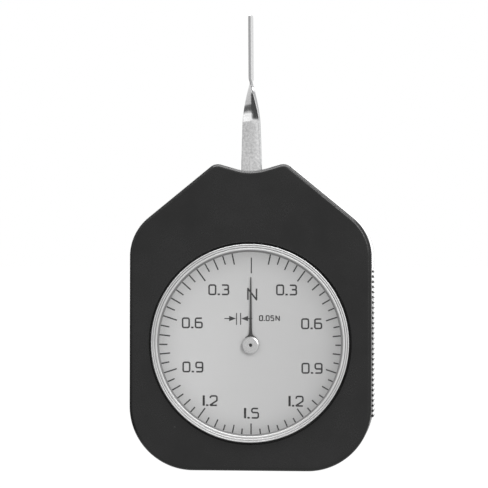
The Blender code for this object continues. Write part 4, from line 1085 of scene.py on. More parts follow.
def stroke_tree() -> ShapeTree:
    """Plans how flat ink strokes are laid along polylines, with rounded bends.

    Returns:
        The tree.
    """
    tree = ShapeTree("ink_strokes")
    width, thickness, bend = tree.number("Width"), tree.number("Thickness"), tree.number("Bend Radius")
    bent = tree.socket("GeometryNodeFilletCurve", {"mode": "POLY"}, {
        "Curve": tree.line(), "Count": tree.count("Bend Steps"), "Radius": bend, "Limit Radius": True})
    level = tree.socket("GeometryNodeSetCurveNormal", {"mode": "Z_UP"}, {0: bent})
    nib = tree.socket("GeometryNodeCurvePrimitiveQuadrilateral", {"mode": "RECTANGLE"},
                      {"Width": width, "Height": thickness})
    return tree.close(tree.sweep(level, nib, caps=True))


def scale_tree() -> ShapeTree:
    """Plans how a dial's divisions are ruled round its middle: short, medium and long.

    Returns:
        The tree.
    """
    tree = ShapeTree("dial_divisions")
    count, first, step = tree.count("Count"), tree.count("First"), tree.number("Step Angle")
    long_every, medium_every = tree.count("Long Every"), tree.count("Medium Every")
    short, medium, long = (tree.number(f"{size} Inner Radius") for size in ("Short", "Medium", "Long"))
    outer, width, thickness = tree.number("Outer Radius"), tree.number("Width"), tree.number("Thickness")
    number = tree.index() + first
    angle = number * step
    is_long = (number % long_every) < 0.5
    is_medium = ((number % medium_every) < 0.5) * (1.0 - is_long)
    foot = short + (medium - short) * is_medium + (long - short) * is_long
    middle = (foot + outer) * 0.5
    places = tree.socket("GeometryNodePoints", None, {
        "Count": count, "Position": tree.vector(middle * angle.sine(), middle * angle.cosine(), 0.0)})
    return tree.close(tree.socket("GeometryNodeInstanceOnPoints", None, {
        "Points": places, "Instance": tree.base, "Rotation": tree.vector(0.0, 0.0, angle * -1.0),
        "Scale": tree.vector(width, outer - foot, thickness)}))


def rib_tree() -> ShapeTree:
    """Plans how a row of grip ribs is set on each flank.

    Returns:
        The tree.
    """
    tree = ShapeTree("flank_ribs")
    count, pitch = tree.count("Count"), tree.number("Pitch")
    first, reach = tree.number("First Height"), tree.number("Reach")
    row = tree.socket("GeometryNodeMeshLine", {"mode": "OFFSET", "count_mode": "TOTAL"}, {
        "Count": count, "Start Location": tree.vector(reach, 0.0, first),
        "Offset": tree.vector(0.0, 0.0, pitch)})
    right = tree.socket("GeometryNodeInstanceOnPoints", None, {"Points": row, "Instance": tree.base})
    left = tree.socket("GeometryNodeTransform", None, {"Geometry": right, "Rotation": (0.0, 0.0, math.pi)})
    both = tree.add("GeometryNodeJoinGeometry")
    for side in (right, left):
        tree.tree.links.new(side, both.inputs[0])
    return tree.close(both.outputs[0])


def corner_screw_tree() -> ShapeTree:
    """Plans how four screws are driven, each turned by its own chance angle.

    Returns:
        The tree.
    """
    tree = ShapeTree("corner_screws")
    low, high = tree.number("Low Height"), tree.number("High Height")
    low_half, high_half = tree.number("Low Half Spacing"), tree.number("High Half Spacing")
    number = tree.index()
    side, upper = 1.0 - (number % 2.0) * 2.0, (number / 2.0).floor()
    across = side * (low_half + (high_half - low_half) * upper)
    places = tree.socket("GeometryNodePoints", None, {
        "Count": 4, "Position": tree.vector(across, 0.0, low + (high - low) * upper)})
    chance = tree.signal("FunctionNodeRandomValue", 1, {"data_type": "FLOAT"}, {
        2: 0.0, 3: math.pi / 2, "Seed": tree.count("Seed")})
    return tree.close(tree.socket("GeometryNodeInstanceOnPoints", None, {
        "Points": places, "Instance": tree.base, "Rotation": tree.vector(0.0, chance, 0.0)}))


# The gauge


@dataclass
class Palette:
    """The materials of the gauge, one for each finish."""

    # Where the ring's material paints shade: its grooves, its inner lip and the gap behind its front.
    ring_grooves: Point2 = (25.55 * MM, 26.09 * MM)
    ring_lip: Point2 = (24.72 * MM, 24.95 * MM)
    ring_gap: Point2 = (-7.9 * MM, -7.2 * MM)
    dial_radius: float = 25.0 * MM
    strip_map: str = "strip"
    made: dict[Slot, Material] = field(init=False)
    ink: Material = field(init=False)
    blued: Material = field(init=False)

    def __post_init__(self) -> None:
        """Makes every material."""
        recipes = {
            Slot.CASE: MouldedPlastic("black_moulded_plastic"),
            Slot.RING: TurnedMetal("silver_turned_ring", WINDOW_AXIS, grey(0.435), grey(0.55), 0.56,
                                   grooves=self.ring_grooves, lip=self.ring_lip, gap_depths=self.ring_gap),
            Slot.DIAL: SatinDial("satin_dial_lacquer", DIAL_AXIS, self.dial_radius),
            Slot.CRYSTAL: ClearCrystal("clear_crystal"),
            Slot.GASKET: Coating("black_rubber", grey(0.012), grey(0.03), 0.8,
                                 skin_scale=1400.0, skin_step=0.02 * MM),
            Slot.SPACER: Coating("white_spacer_moulding", grey(0.62), grey(0.72), 0.5),
            Slot.POINTER: Coating("black_pointer_lacquer", grey(0.022), grey(0.045), 0.42),
            Slot.FEELER: StripSteel("polished_strip_steel", self.strip_map),
            Slot.TURNED: TurnedMetal("turned_steel", DIAL_AXIS, grey(0.56), grey(0.78), 0.28),
            Slot.BRASS: GrainedMetal("grained_brass", (0.52, 0.37, 0.15), (0.80, 0.60, 0.28)),
            Slot.BRONZE: GrainedMetal("bush_bronze", (0.42, 0.25, 0.11), (0.66, 0.44, 0.24), 0.36),
            Slot.SCREW: GrainedMetal("zinc_plated_steel", (0.36, 0.37, 0.39), (0.60, 0.61, 0.63), 0.30),
        }
        self.made = {slot: recipe.material() for slot, recipe in recipes.items()}
        self.ink = Coating("dial_ink", (0.010, 0.010, 0.011), (0.040, 0.040, 0.041), 0.55,
                           skin_scale=2600.0, skin_step=0.002 * MM, skin_detail=3.0, cloud_scale=2600.0,
                           cloud_range=(0.3, 0.75), rough_share=0.2).material()
        self.blued = TurnedMetal("blued_steel", DIAL_AXIS, grey(0.03), grey(0.06), 0.35).material()

    def dress(self, made: Piece, slot: Slot) -> None:
        """Gives a piece the material of its slot."""
        self.dress_with(made, self.made[slot])

    @staticmethod
    def dress_with(made: Piece, material: Material) -> None:
        """Gives a piece one material.

        Args:
            made: the piece.
            material: the material.
        """
        if not made.material_slots:
            made.data.materials.append(material)
        for holder in made.material_slots:
            holder.material = material


@dataclass
class Assembly:
    """What every sub-assembly shares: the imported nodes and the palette."""

    nodes: dict[str, Piece]
    palette: Palette

    def keep(self, slot: Slot, *names: str) -> None:
        """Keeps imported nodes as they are, with a better material.

        Args:
            slot: their finish.
            names: the nodes.
        """
        for name in names:
            self.palette.dress(self.nodes[name], slot)
            LOG.info("dressed %s in %s", name, self.palette.made[slot].name)

    def hand_over(self, made: Piece, slot: Slot, body: Body, replaced: Sequence[str] = (),
                  smooth: bool = True) -> None:
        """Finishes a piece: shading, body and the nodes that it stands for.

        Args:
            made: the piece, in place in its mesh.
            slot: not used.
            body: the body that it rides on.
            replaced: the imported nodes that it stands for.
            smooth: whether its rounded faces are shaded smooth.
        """
        if smooth:
            ease(made.data)
        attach(made, body.value)
        if replaced:
            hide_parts(*replaced)
        LOG.info("built %s: %d faces on %s", made.name, len(made.data.polygons), body.value)


@dataclass(frozen=True)
class HousingSizes:
    """The housing's outline and depths, which its two halves share."""

    half_width: float = 32.5 * MM
    bottom_round: float = 17.15 * MM
    shoulder_height: float = 63.7 * MM
    shoulder_round: float = 13.4 * MM
    horn_half_spacing: float = 9.5 * MM
    horn_height: float = 82.47 * MM
    horn_round: float = 3.2 * MM
    notch_height: float = 79.73 * MM
    notch_round: float = 13.9 * MM
    wall: float = 2.0 * MM
    front: float = -8.0 * MM
    wall_back: float = -6.0 * MM
    parting: float = 6.5 * MM
    cover_front: float = 6.8 * MM
    cover_back: float = 9.0 * MM
    overrun: float = 1.0 * MM
    parting_chamfer: float = 0.12 * MM
    support: float = 0.3 * MM
    screw_inset: float = 6.2 * MM

    def outline(self) -> Outline:
        """Draws the housing as seen from the front.

        Returns:
            Its outline.
        """
        wide, low, high = self.half_width, self.bottom_round, self.shoulder_round
        horn = (self.horn_half_spacing, self.horn_height, self.horn_round)
        return Outline((
            (wide, 0.0, low), (wide, self.shoulder_height, high), horn,
            (0.0, self.notch_height, self.notch_round),
            (-horn[0], horn[1], horn[2]), (-wide, self.shoulder_height, high), (-wide, 0.0, low),
        ))

    def shell(self, name: str, edge_round: float, face: float, parting: float) -> Piece:
        """Builds one half of the housing, still solid, its outer edge rounded and its parting edge broken.

        Args:
            name: the piece's name.
            edge_round: the rounding of the outer edge.
            face: the depth of the outer face.
            parting: the depth of the parting edge.

        Returns:
            The piece.
        """
        deep, way = abs(parting - face), math.copysign(1.0, parting - face)
        held = edge_round + self.support
        rings = [(held, 0.0), *edge_steps(edge_round), (0.0, held),
                 (0.0, deep - self.support - self.parting_chamfer), (0.0, deep - self.parting_chamfer),
                 (self.parting_chamfer, deep)]
        outlines = [self.outline().inset(step).points() for step, _ in rings]
        return link(name, Solid.loft(outlines, [face + way * down for _, down in rings]).mesh(name))

    def screw_places(self) -> list[Point2]:
        """Finds where the cover's screws stand.

        Returns:
            Their places as (across, height): lower right, lower left, upper right, upper left.
        """
        places = []
        for index in (0, 1):
            outline = self.outline()
            (across, height), outward = outline.centre(index)
            reach = outline.corners[index][2] - self.screw_inset
            across, height = across + reach * math.cos(outward), height + reach * math.sin(outward)
            places += [(across, height), (-across, height)]
        return places


def edge_steps(radius: float) -> list[Point2]:
    """Returns a rounded edge as (inset, depth from the face), from the face outwards."""
    quarter = [math.pi / 2 * step / EDGE_STEPS for step in range(EDGE_STEPS + 1)]
    return [(radius * (1 - math.sin(a)), radius * (1 - math.cos(a))) for a in quarter]


@dataclass
class FrontMoulding(Assembly):
    """The front half of the housing: face, walls, window, feeler slot and screw bosses."""

    sizes: HousingSizes = field(default_factory=HousingSizes)
    edge_round: float = 1.1 * MM
    window_radius: float = 27.1 * MM
    window_chamfer: float = 0.15 * MM
    window_segments: int = 160
    cover_boss_radius: float = 2.6 * MM
    cover_boss_back: float = 6.3 * MM
    cover_hole_radius: float = 1.15 * MM
    cover_hole_front: float = -1.0 * MM
    plate_boss_radius: float = 2.0 * MM
    plate_boss_back: float = -4.6 * MM
    plate_hole_radius: float = 0.8 * MM
    plate_hole_front: float = -6.6 * MM
    plate_screws: tuple[Point2, ...] = ((13.0 * MM, 67.0 * MM), (14.98 * MM, 6.24 * MM))
    slot_half_width: float = 5.36 * MM
    slot_depths: Point2 = (-2.7 * MM, -1.0 * MM)

    def hollow(self) -> Solid:
        """Returns the space inside the walls."""
        outline = self.sizes.outline().inset(self.sizes.wall).points()
        return Solid.loft([outline, outline], [self.sizes.wall_back, self.sizes.parting + self.sizes.overrun])

    def window(self) -> Solid:
        """Draws the round window, with its front edge broken.

        Returns:
            The form to cut out.
        """
        front, spare = self.sizes.front, self.sizes.overrun
        wide = self.window_radius + self.window_chamfer
        profile = [
            (0, front - spare), (wide, front - spare), (wide, front),
            (self.window_radius, front + self.window_chamfer),
            (self.window_radius, self.sizes.wall_back + spare), (0, self.sizes.wall_back + spare),
        ]
        return Solid.turned(profile, self.window_segments, WINDOW_AXIS)

    def build(self) -> None:
        """Builds the moulding."""
        sizes, spare = self.sizes, self.sizes.overrun
        root = sizes.wall_back - sizes.wall / 2
        sides = [(side * x, z) for x, z in self.plate_screws for side in (1, -1)]
        bosses = [rod(at, self.cover_boss_radius, root, self.cover_boss_back) for at in sizes.screw_places()]
        bosses += [rod(at, self.plate_boss_radius, root, self.plate_boss_back) for at in sides]
        holes = [rod(at, self.cover_hole_radius, self.cover_hole_front, sizes.parting + spare)
                 for at in sizes.screw_places()]
        holes += [rod(at, self.plate_hole_radius, self.plate_hole_front, sizes.parting + spare)
                  for at in sides]
        slot = box((-self.slot_half_width, self.slot_depths[0], sizes.notch_height - 2 * sizes.wall),
                   (self.slot_half_width, self.slot_depths[1], sizes.horn_height + spare))
        made = carve(sizes.shell("case_front_moulding", self.edge_round, sizes.front, sizes.parting), [
            ("DIFFERENCE", self.hollow()), ("UNION", Solid.together(bosses)), ("DIFFERENCE", self.window()),
            ("DIFFERENCE", Solid.together(holes)), ("DIFFERENCE", slot),
        ])
        self.palette.dress(made, Slot.CASE)
        self.hand_over(made, Slot.CASE, Body.HOUSING, ("front_case",))


@dataclass
class GripRibs(Assembly):
    """The rows of ribs on both flanks."""

    count: int = 29
    pitch: float = 1.384 * MM
    first_height: float = 14.65 * MM
    flank: float = 32.5 * MM
    proud: float = 0.38 * MM
    sunk: float = 0.4 * MM
    root_half: float = 0.36 * MM
    crest_half: float = 0.26 * MM
    crest_round: float = 0.1 * MM
    shoulder_shares: tuple[Point2, ...] = ((1.0, -0.35), (0.3, 0.1), (0.0, 0.7))
    depths: Point2 = (-2.8 * MM, 6.0 * MM)
    end_slope: float = 0.10 * MM

    def section(self, inset: float) -> list[Point2]:
        """Draws the rib's cross-section, with rounded shoulders.

        Args:
            inset: how much lower than full height its crest is.

        Returns:
            Its points as (out of the flank, height).
        """
        crest, bend = self.proud - inset, self.crest_round
        right = [(-self.sunk, -self.root_half), (0.0, -self.root_half)]
        right += [(crest - bend * down, -self.crest_half + bend * up) for down, up in self.shoulder_shares]
        return right + [(x, -z) for x, z in reversed(right)]

    def rib(self) -> Mesh:
        """Makes one rib in the middle of its own axes, with sloped ends.

        Returns:
            Its mesh.
        """
        half, slope = (self.depths[1] - self.depths[0]) / 2, self.end_slope
        stations = [(-half, slope), (-half + slope, 0.0), (half - slope, 0.0), (half, slope)]
        solid = Solid.loft([self.section(inset) for _, inset in stations], [depth for depth, _ in stations])
        return solid.mesh("rib")

    def build(self) -> None:
        """Builds both rows."""
        made = rib_tree().run("flank_ribs", self.rib(), self.palette.made[Slot.CASE], {
            "Count": self.count, "Pitch": self.pitch, "First Height": self.first_height,
            "Reach": self.flank})
        made.data.transform(Matrix.Translation((0.0, sum(self.depths) / 2, 0.0)))
        self.hand_over(made, Slot.CASE, Body.HOUSING, ("front_case",))


@dataclass
class BackMoulding(Assembly):
    """The back half of the housing: a plate with a rounded edge, a rim and countersunk holes."""

    sizes: HousingSizes = field(default_factory=HousingSizes)
    edge_round: float = 1.0 * MM
    rim_gap: float = 0.2 * MM
    rim_wall: float = 1.2 * MM
    rim_front: float = 5.8 * MM
    shank_hole: float = 1.15 * MM
    mouth: float = 2.15 * MM
    sink: float = 1.0 * MM
    screw_sunk: float = 0.1 * MM
    hole_segments: int = 64

    def build(self) -> None:
        """Builds the moulding."""
        sizes, spare = self.sizes, self.sizes.overrun
        made = sizes.shell("case_back_moulding", self.edge_round, sizes.cover_back, sizes.cover_front)
        outer = sizes.outline().inset(sizes.wall + self.rim_gap).points()
        inner = sizes.outline().inset(sizes.wall + self.rim_gap + self.rim_wall).points()
        middle = (sizes.cover_front + sizes.cover_back) / 2
        profile = [
            (0, sizes.cover_front - 2 * spare), (self.shank_hole, sizes.cover_front - 2 * spare),
            (self.shank_hole, sizes.cover_back - self.screw_sunk - self.sink),
            (self.mouth, sizes.cover_back - self.screw_sunk), (self.mouth, sizes.cover_back + spare),
            (0, sizes.cover_back + spare),
        ]
        carve(made, [
            ("UNION", Solid.loft([outer, outer], [self.rim_front, middle])),
            ("DIFFERENCE", Solid.loft([inner, inner], [self.rim_front - spare, sizes.cover_front])),
            ("DIFFERENCE", Solid.together(Solid.turned(profile, self.hole_segments, at)
                                          for at in sizes.screw_places())),
        ])
        self.palette.dress(made, Slot.CASE)
        self.hand_over(made, Slot.CASE, Body.HOUSING, ("back_cover",))


@dataclass
class CoverScrews(Assembly):
    """The four countersunk cross-head screws of the back cover."""

    sizes: HousingSizes = field(default_factory=HousingSizes)
    face: float = 8.85 * MM
    tip: float = -0.7 * MM
    shank_radius: float = 1.1 * MM
    head_radius: float = 2.05 * MM
    sink: float = 1.0 * MM
    rim_round: float = 0.08 * MM
    tip_chamfer: Point2 = (0.2 * MM, 0.3 * MM)
    cross_half_length: float = 1.1 * MM
    cross_half_width: float = 0.2 * MM
    cross_depth: float = 0.6 * MM
    cross_wall: float = 0.05 * MM
    cross_floor_share: float = 0.55
    segments: int = 48
    seed: int = 7

    def cross(self) -> list[Solid]:
        """Draws the cross recess.

        Returns:
            Two wedges that narrow towards its floor.
        """
        wedges = []
        long, narrow = self.cross_half_length, self.cross_half_width
        depths = [self.face - self.cross_depth, self.face - self.cross_wall, self.face + self.sizes.overrun]
        for lying in (True, False):
            outlines = []
            for share in (self.cross_floor_share, 1.0, 1.0):
                wide, high = (long * share, narrow) if lying else (narrow, long * share)
                outlines.append([(-wide, -high), (wide, -high), (wide, high), (-wide, high)])
            wedges.append(Solid.loft(outlines, depths))
        return wedges

    def build(self) -> None:
        """Builds the screws."""
        profile = [
            (0, self.tip), (self.shank_radius - self.tip_chamfer[0], self.tip),
            (self.shank_radius, self.tip + self.tip_chamfer[1]), (self.shank_radius, self.face - self.sink),
            (self.head_radius, self.face - self.rim_round),
            (self.head_radius - self.rim_round, self.face), (0, self.face),
        ]
        one = carve(link("cover_screw_form", Solid.turned(profile, self.segments).mesh("cover_screw_form")),
                    [("DIFFERENCE", wedge) for wedge in self.cross()])
        places = self.sizes.screw_places()
        made = corner_screw_tree().run("cover_screws", one.data, self.palette.made[Slot.SCREW], {
            "Low Height": places[0][1], "High Height": places[2][1], "Low Half Spacing": places[0][0],
            "High Half Spacing": places[2][0], "Seed": self.seed})
        bpy.data.objects.remove(one)
        self.hand_over(made, Slot.SCREW, Body.HOUSING, [f"cover_screw_{n}" for n in (1, 2, 3, 4)])


@dataclass
class Window(Assembly):
    """The bezel ring, with the crystal, its gasket and the spacer behind it."""

    front: float = -9.0 * MM
    lip_radius: float = 24.36 * MM
    ring_radius: float = 26.5 * MM
    bore: float = 25.9 * MM
    lip_back: float = -8.2 * MM
    flange_front: float = -5.8 * MM
    flange_back: float = -5.2 * MM
    flange_radius: float = 28.3 * MM
    path_radius: float = 26.0 * MM
    segments: int = 224
    beads: tuple[Point3, ...] = (
        (24.88 * MM, 25.50 * MM, 0.12 * MM), (25.60 * MM, 26.04 * MM, 0.05 * MM),
        (26.14 * MM, 26.5 * MM, 0.0 * MM),
    )
    groove_depth: float = 0.07 * MM
    bead_steps: int = 7
    lip_slope: tuple[Point2, ...] = ((0.0, 0.50 * MM), (0.44 * MM, 0.46 * MM))
    skirt_down: float = 0.24 * MM

    def crown(self) -> list[Point2]:
        """Draws the ring's face: a sloped lip, and three turned beads with grooves between them.

        Returns:
            Its points as (radius, depth), from the lip outwards.
        """
        points = [(self.lip_radius + out, self.front + down) for out, down in self.lip_slope]
        for inner, outer, down in self.beads:
            half = (outer - inner) / 2
            for step in range(self.bead_steps + 1):
                angle = math.pi * step / self.bead_steps
                rise = self.groove_depth * math.sin(angle)
                across = (inner + half) - half * math.cos(angle)
                points.append((across, self.front + down + self.groove_depth - rise))
        points[-1] = (self.ring_radius, self.front + self.skirt_down)
        return points

    def build(self) -> None:
        """Builds the ring, and dresses what lies behind it."""
        profile = self.crown() + [
            (self.ring_radius, self.flange_front), (self.flange_radius, self.flange_front),
            (self.flange_radius, self.flange_back), (self.bore, self.flange_back),
            (self.bore, self.lip_back), (self.lip_radius, self.lip_back),
        ]
        made = turned_ring("bezel_ring_turned", profile, self.path_radius, self.segments,
                           self.palette.made[Slot.RING])
        stand_up(made, WINDOW_AXIS, self.front)
        self.keep(Slot.CRYSTAL, "crystal")
        self.keep(Slot.GASKET, "crystal_gasket")
        self.keep(Slot.SPACER, "dial_spacer")
        self.hand_over(made, Slot.RING, Body.HOUSING, ("bezel_ring",))


def turned_ring(name: str, profile: Sequence[Point2], path_radius: float, segments: int,
                finish: Material) -> Piece:
    """Turns a ring, level about its own axis.

    Args:
        name: the piece's name.
        profile: its cross-section as (radius, depth), without the first point again at the end.
        path_radius: a radius in the middle of the cross-section.
        segments: how many sides the ring has.
        finish: its material.

    Returns:
        The ring, for stand_up.
    """
    drawn = [(radius - path_radius, depth) for radius, depth in profile]
    return turning_tree().run(name, wires([[*drawn, drawn[0]]]), finish, {
        "Path Radius": path_radius, "Segments": segments})


def stand_up(made: Piece, at: Point2, front: float) -> None:
    """Turns a form that was swept level to face the reader, and brings it to its place.

    Args:
        made: the piece.
        at: where its axis goes, as (across, height).
        front: the depth of its foremost point.
    """
    mesh = made.data
    mesh.transform(Matrix.Translation((at[0], 0.0, at[1])) @ UPRIGHT)
    face_outwards(mesh)
    foremost = min(vertex.co.y for vertex in mesh.vertices)
    mesh.transform(Matrix.Translation((0.0, front - foremost, 0.0)))


@dataclass(frozen=True)
class Sign:
    """A printed text, its middle in millimetres, its height, and its letters' width and gap as shares."""

    text: str
    at: Point2
    high: float
    narrow: float = 1.0
    gap: float = 0.31


class Glyphs:
    """A squarish technical alphabet of single strokes, one unit high, for figures and unit signs."""

    WIDE = 0.70
    WIDTHS = {"1": 0.07, ".": 0.08}
    STROKES: dict[str, tuple[tuple[Point2, ...], ...]] = {
        "0": (((0.0, 0.0), (0.7, 0.0), (0.7, 1.0), (0.0, 1.0), (0.0, 0.0)),),
        "1": (((0.0, -0.05), (0.0, 1.05)), ((0.07, -0.05), (0.07, 1.05))),
        "2": (((0.0, 0.76), (0.0, 1.0), (0.7, 1.0), (0.7, 0.5), (0.0, 0.05), (0.0, 0.0), (0.7, 0.0)),),
        "3": (((0.0, 1.0), (0.68, 1.0), (0.68, 0.53), (0.22, 0.53)),
              ((0.5, 0.53), (0.7, 0.53), (0.7, 0.0), (0.0, 0.0))),
        "5": (((0.68, 1.0), (0.03, 1.0), (0.0, 0.57), (0.7, 0.57), (0.7, 0.0), (0.0, 0.0)),),
        "6": (((0.68, 1.0), (0.0, 1.0), (0.0, 0.0), (0.7, 0.0), (0.7, 0.56), (0.0, 0.56)),),
        "9": (((0.02, 0.0), (0.7, 0.0), (0.7, 1.0), (0.0, 1.0), (0.0, 0.44), (0.7, 0.44)),),
        "N": (((0.0, 0.0), (0.0, 1.0), (0.7, 0.0), (0.7, 1.0)),),
        ".": (((0.0, -0.08), (0.0, 0.10)), ((0.08, -0.08), (0.08, 0.10))),
    }

    @classmethod
    def written(cls, sign: Sign) -> list[list[Point2]]:
        """Writes a sign about its middle.

        Args:
            sign: the text, its place and its sizes.

        Returns:
            The polylines of its strokes.
        """
        widths = [cls.WIDTHS.get(letter, cls.WIDE) * sign.narrow for letter in sign.text]
        left = -(sum(widths) + sign.gap * (len(sign.text) - 1)) / 2
        lines = []
        for letter, wide in zip(sign.text, widths):
            for points in cls.STROKES[letter]:
                lines.append([(sign.at[0] * MM + (left + x * sign.narrow) * sign.high,
                               sign.at[1] * MM + (y - 0.5) * sign.high) for x, y in points])
            left += wide + sign.gap
        return lines


@dataclass
class DialFace(Assembly):
    """The dial plate and all that is printed on it: divisions, figures, unit and division signs."""

    at: Point2 = (0.1 * MM, 33.65 * MM)
    plate_front: float = -5.0 * MM
    film: float = 0.025 * MM
    sunk: float = 0.005 * MM
    marks: int = 57
    first_mark: int = 2
    step: float = math.radians(6.0)
    long_every: int = 6
    medium_every: int = 2
    outer: float = 25.6 * MM
    inner: Point3 = (22.6 * MM, 22.0 * MM, 21.1 * MM)
    mark_width: float = 0.36 * MM
    bend_steps: int = 5
    figure_high: float = 2.52 * MM
    figure_gap: float = 0.30
    figure_stroke: float = 0.43 * MM
    figure_bend: float = 0.42 * MM
    figures: tuple[tuple[str, float, float], ...] = (
        ("0.3", -8.76, 14.76), ("0.3", 9.50, 14.76), ("0.6", -15.89, 5.83), ("0.6", 16.25, 5.73),
        ("0.9", -15.72, -6.04), ("0.9", 16.36, -6.20), ("1.2", -11.03, -15.04), ("1.2", 12.09, -15.04),
        ("1.5", 0.12, -18.34),
    )
    unit: Sign = Sign("N", (0.25, 13.60), 3.02 * MM, 1.1)
    unit_stroke: float = 0.42 * MM
    value: Sign = Sign("0.05", (4.15, 7.17), 1.28 * MM, 0.9, 0.34)
    value_unit: Sign = Sign("N", (7.1, 7.17), 1.28 * MM)
    value_stroke: float = 0.30 * MM
    value_bend: float = 0.2 * MM
    sharp_bend: float = 0.01 * MM
    division_bars: Point2 = (-3.97 * MM, -2.86 * MM)
    bar_heights: Point2 = (8.54 * MM, 5.35 * MM)
    arrow_height: float = 7.04 * MM
    arrow_tails: tuple[Point2, ...] = ((-7.25 * MM, -5.9 * MM), (-0.9 * MM, 0.26 * MM))
    arrow_heads: tuple[Point2, ...] = ((-4.12 * MM, -5.95 * MM), (-2.72 * MM, -0.86 * MM))
    arrow_half: float = 0.72 * MM
    bar_stroke: float = 0.26 * MM
    zero_reach: Point2 = (19.2 * MM, 23.4 * MM)
    zero_stroke: float = 0.30 * MM
    tree: ShapeTree = field(init=False, default_factory=stroke_tree)

    def place(self, made: Piece) -> None:
        """Brings a level print upright onto the dial, and hands it over."""
        made.data.transform(Matrix.Translation((self.at[0], self.plate_front, self.at[1])) @ UPRIGHT)
        self.hand_over(made, Slot.DIAL, Body.HOUSING, smooth=False)

    def strokes(self, name: str, lines: Sequence[Sequence[Point2]], width: float, bend: float) -> None:
        """Prints polylines as strokes.

        Args:
            name: the piece's name.
            lines: the polylines, in metres from the dial's middle.
            width: the stroke's width.
            bend: the radius of its bends.
        """
        made = self.tree.run(name, wires(lines), self.palette.ink, {
            "Width": width, "Thickness": self.film, "Bend Radius": bend, "Bend Steps": self.bend_steps})
        made.data.transform(Matrix.Translation((0.0, 0.0, self.film / 2 - self.sunk)))
        self.place(made)

    def divisions(self) -> None:
        """Prints the scale's divisions, longest at each numbered one."""
        cube = box((-0.5, -0.5, 0.0), (0.5, 0.5, 1.0)).mesh("mark")
        cube.transform(Matrix.Translation((0.0, 0.0, -self.sunk / self.film)))
        short, medium, long = self.inner
        made = scale_tree().run("dial_divisions", cube, self.palette.ink, {
            "Count": self.marks, "First": self.first_mark, "Step Angle": self.step,
            "Long Every": self.long_every, "Medium Every": self.medium_every, "Short Inner Radius": short,
            "Medium Inner Radius": medium, "Long Inner Radius": long, "Outer Radius": self.outer,
            "Width": self.mark_width, "Thickness": self.film})
        self.place(made)

    def heads(self) -> None:
        """Prints the two filled heads of the division sign."""
        level, half = self.arrow_height, self.arrow_half
        heads = []
        for tip, base in self.arrow_heads:
            triangle = [(tip, level), (base, level + half), (base, level - half)]
            heads.append(Solid.loft([triangle, triangle], [self.sunk - self.film, self.sunk]))
        made = link("division_sign_heads", Solid.together(heads).mesh("division_sign_heads"))
        made.data.transform(Matrix.Translation((self.at[0], self.plate_front, self.at[1])))
        self.palette.dress_with(made, self.palette.ink)
        self.hand_over(made, Slot.DIAL, Body.HOUSING, smooth=False)

    def build(self) -> None:
        """Dresses the plate and prints it."""
        self.keep(Slot.DIAL, "dial_plate")
        self.divisions()
        figures = [line for text, across, up in self.figures for line in Glyphs.written(
            Sign(text, (across, up), self.figure_high, gap=self.figure_gap))]
        bars = [[(x, height) for height in self.bar_heights] for x in self.division_bars]
        tails = [[(x, self.arrow_height) for x in tail] for tail in self.arrow_tails]
        zero = [[(0.0, height) for height in self.zero_reach]]
        for name, lines, width, bend in (
            ("dial_figures", figures, self.figure_stroke, self.figure_bend),
            ("unit_sign", Glyphs.written(self.unit), self.unit_stroke, self.sharp_bend),
            ("division_value", Glyphs.written(self.value), self.value_stroke, self.value_bend),
            ("division_unit", Glyphs.written(self.value_unit), self.value_stroke, self.sharp_bend),
            ("division_sign", bars + tails, self.bar_stroke, 0.0),
            ("zero_mark", zero, self.zero_stroke, 0.0),
        ):
            self.strokes(name, lines, width, bend)
        self.heads()


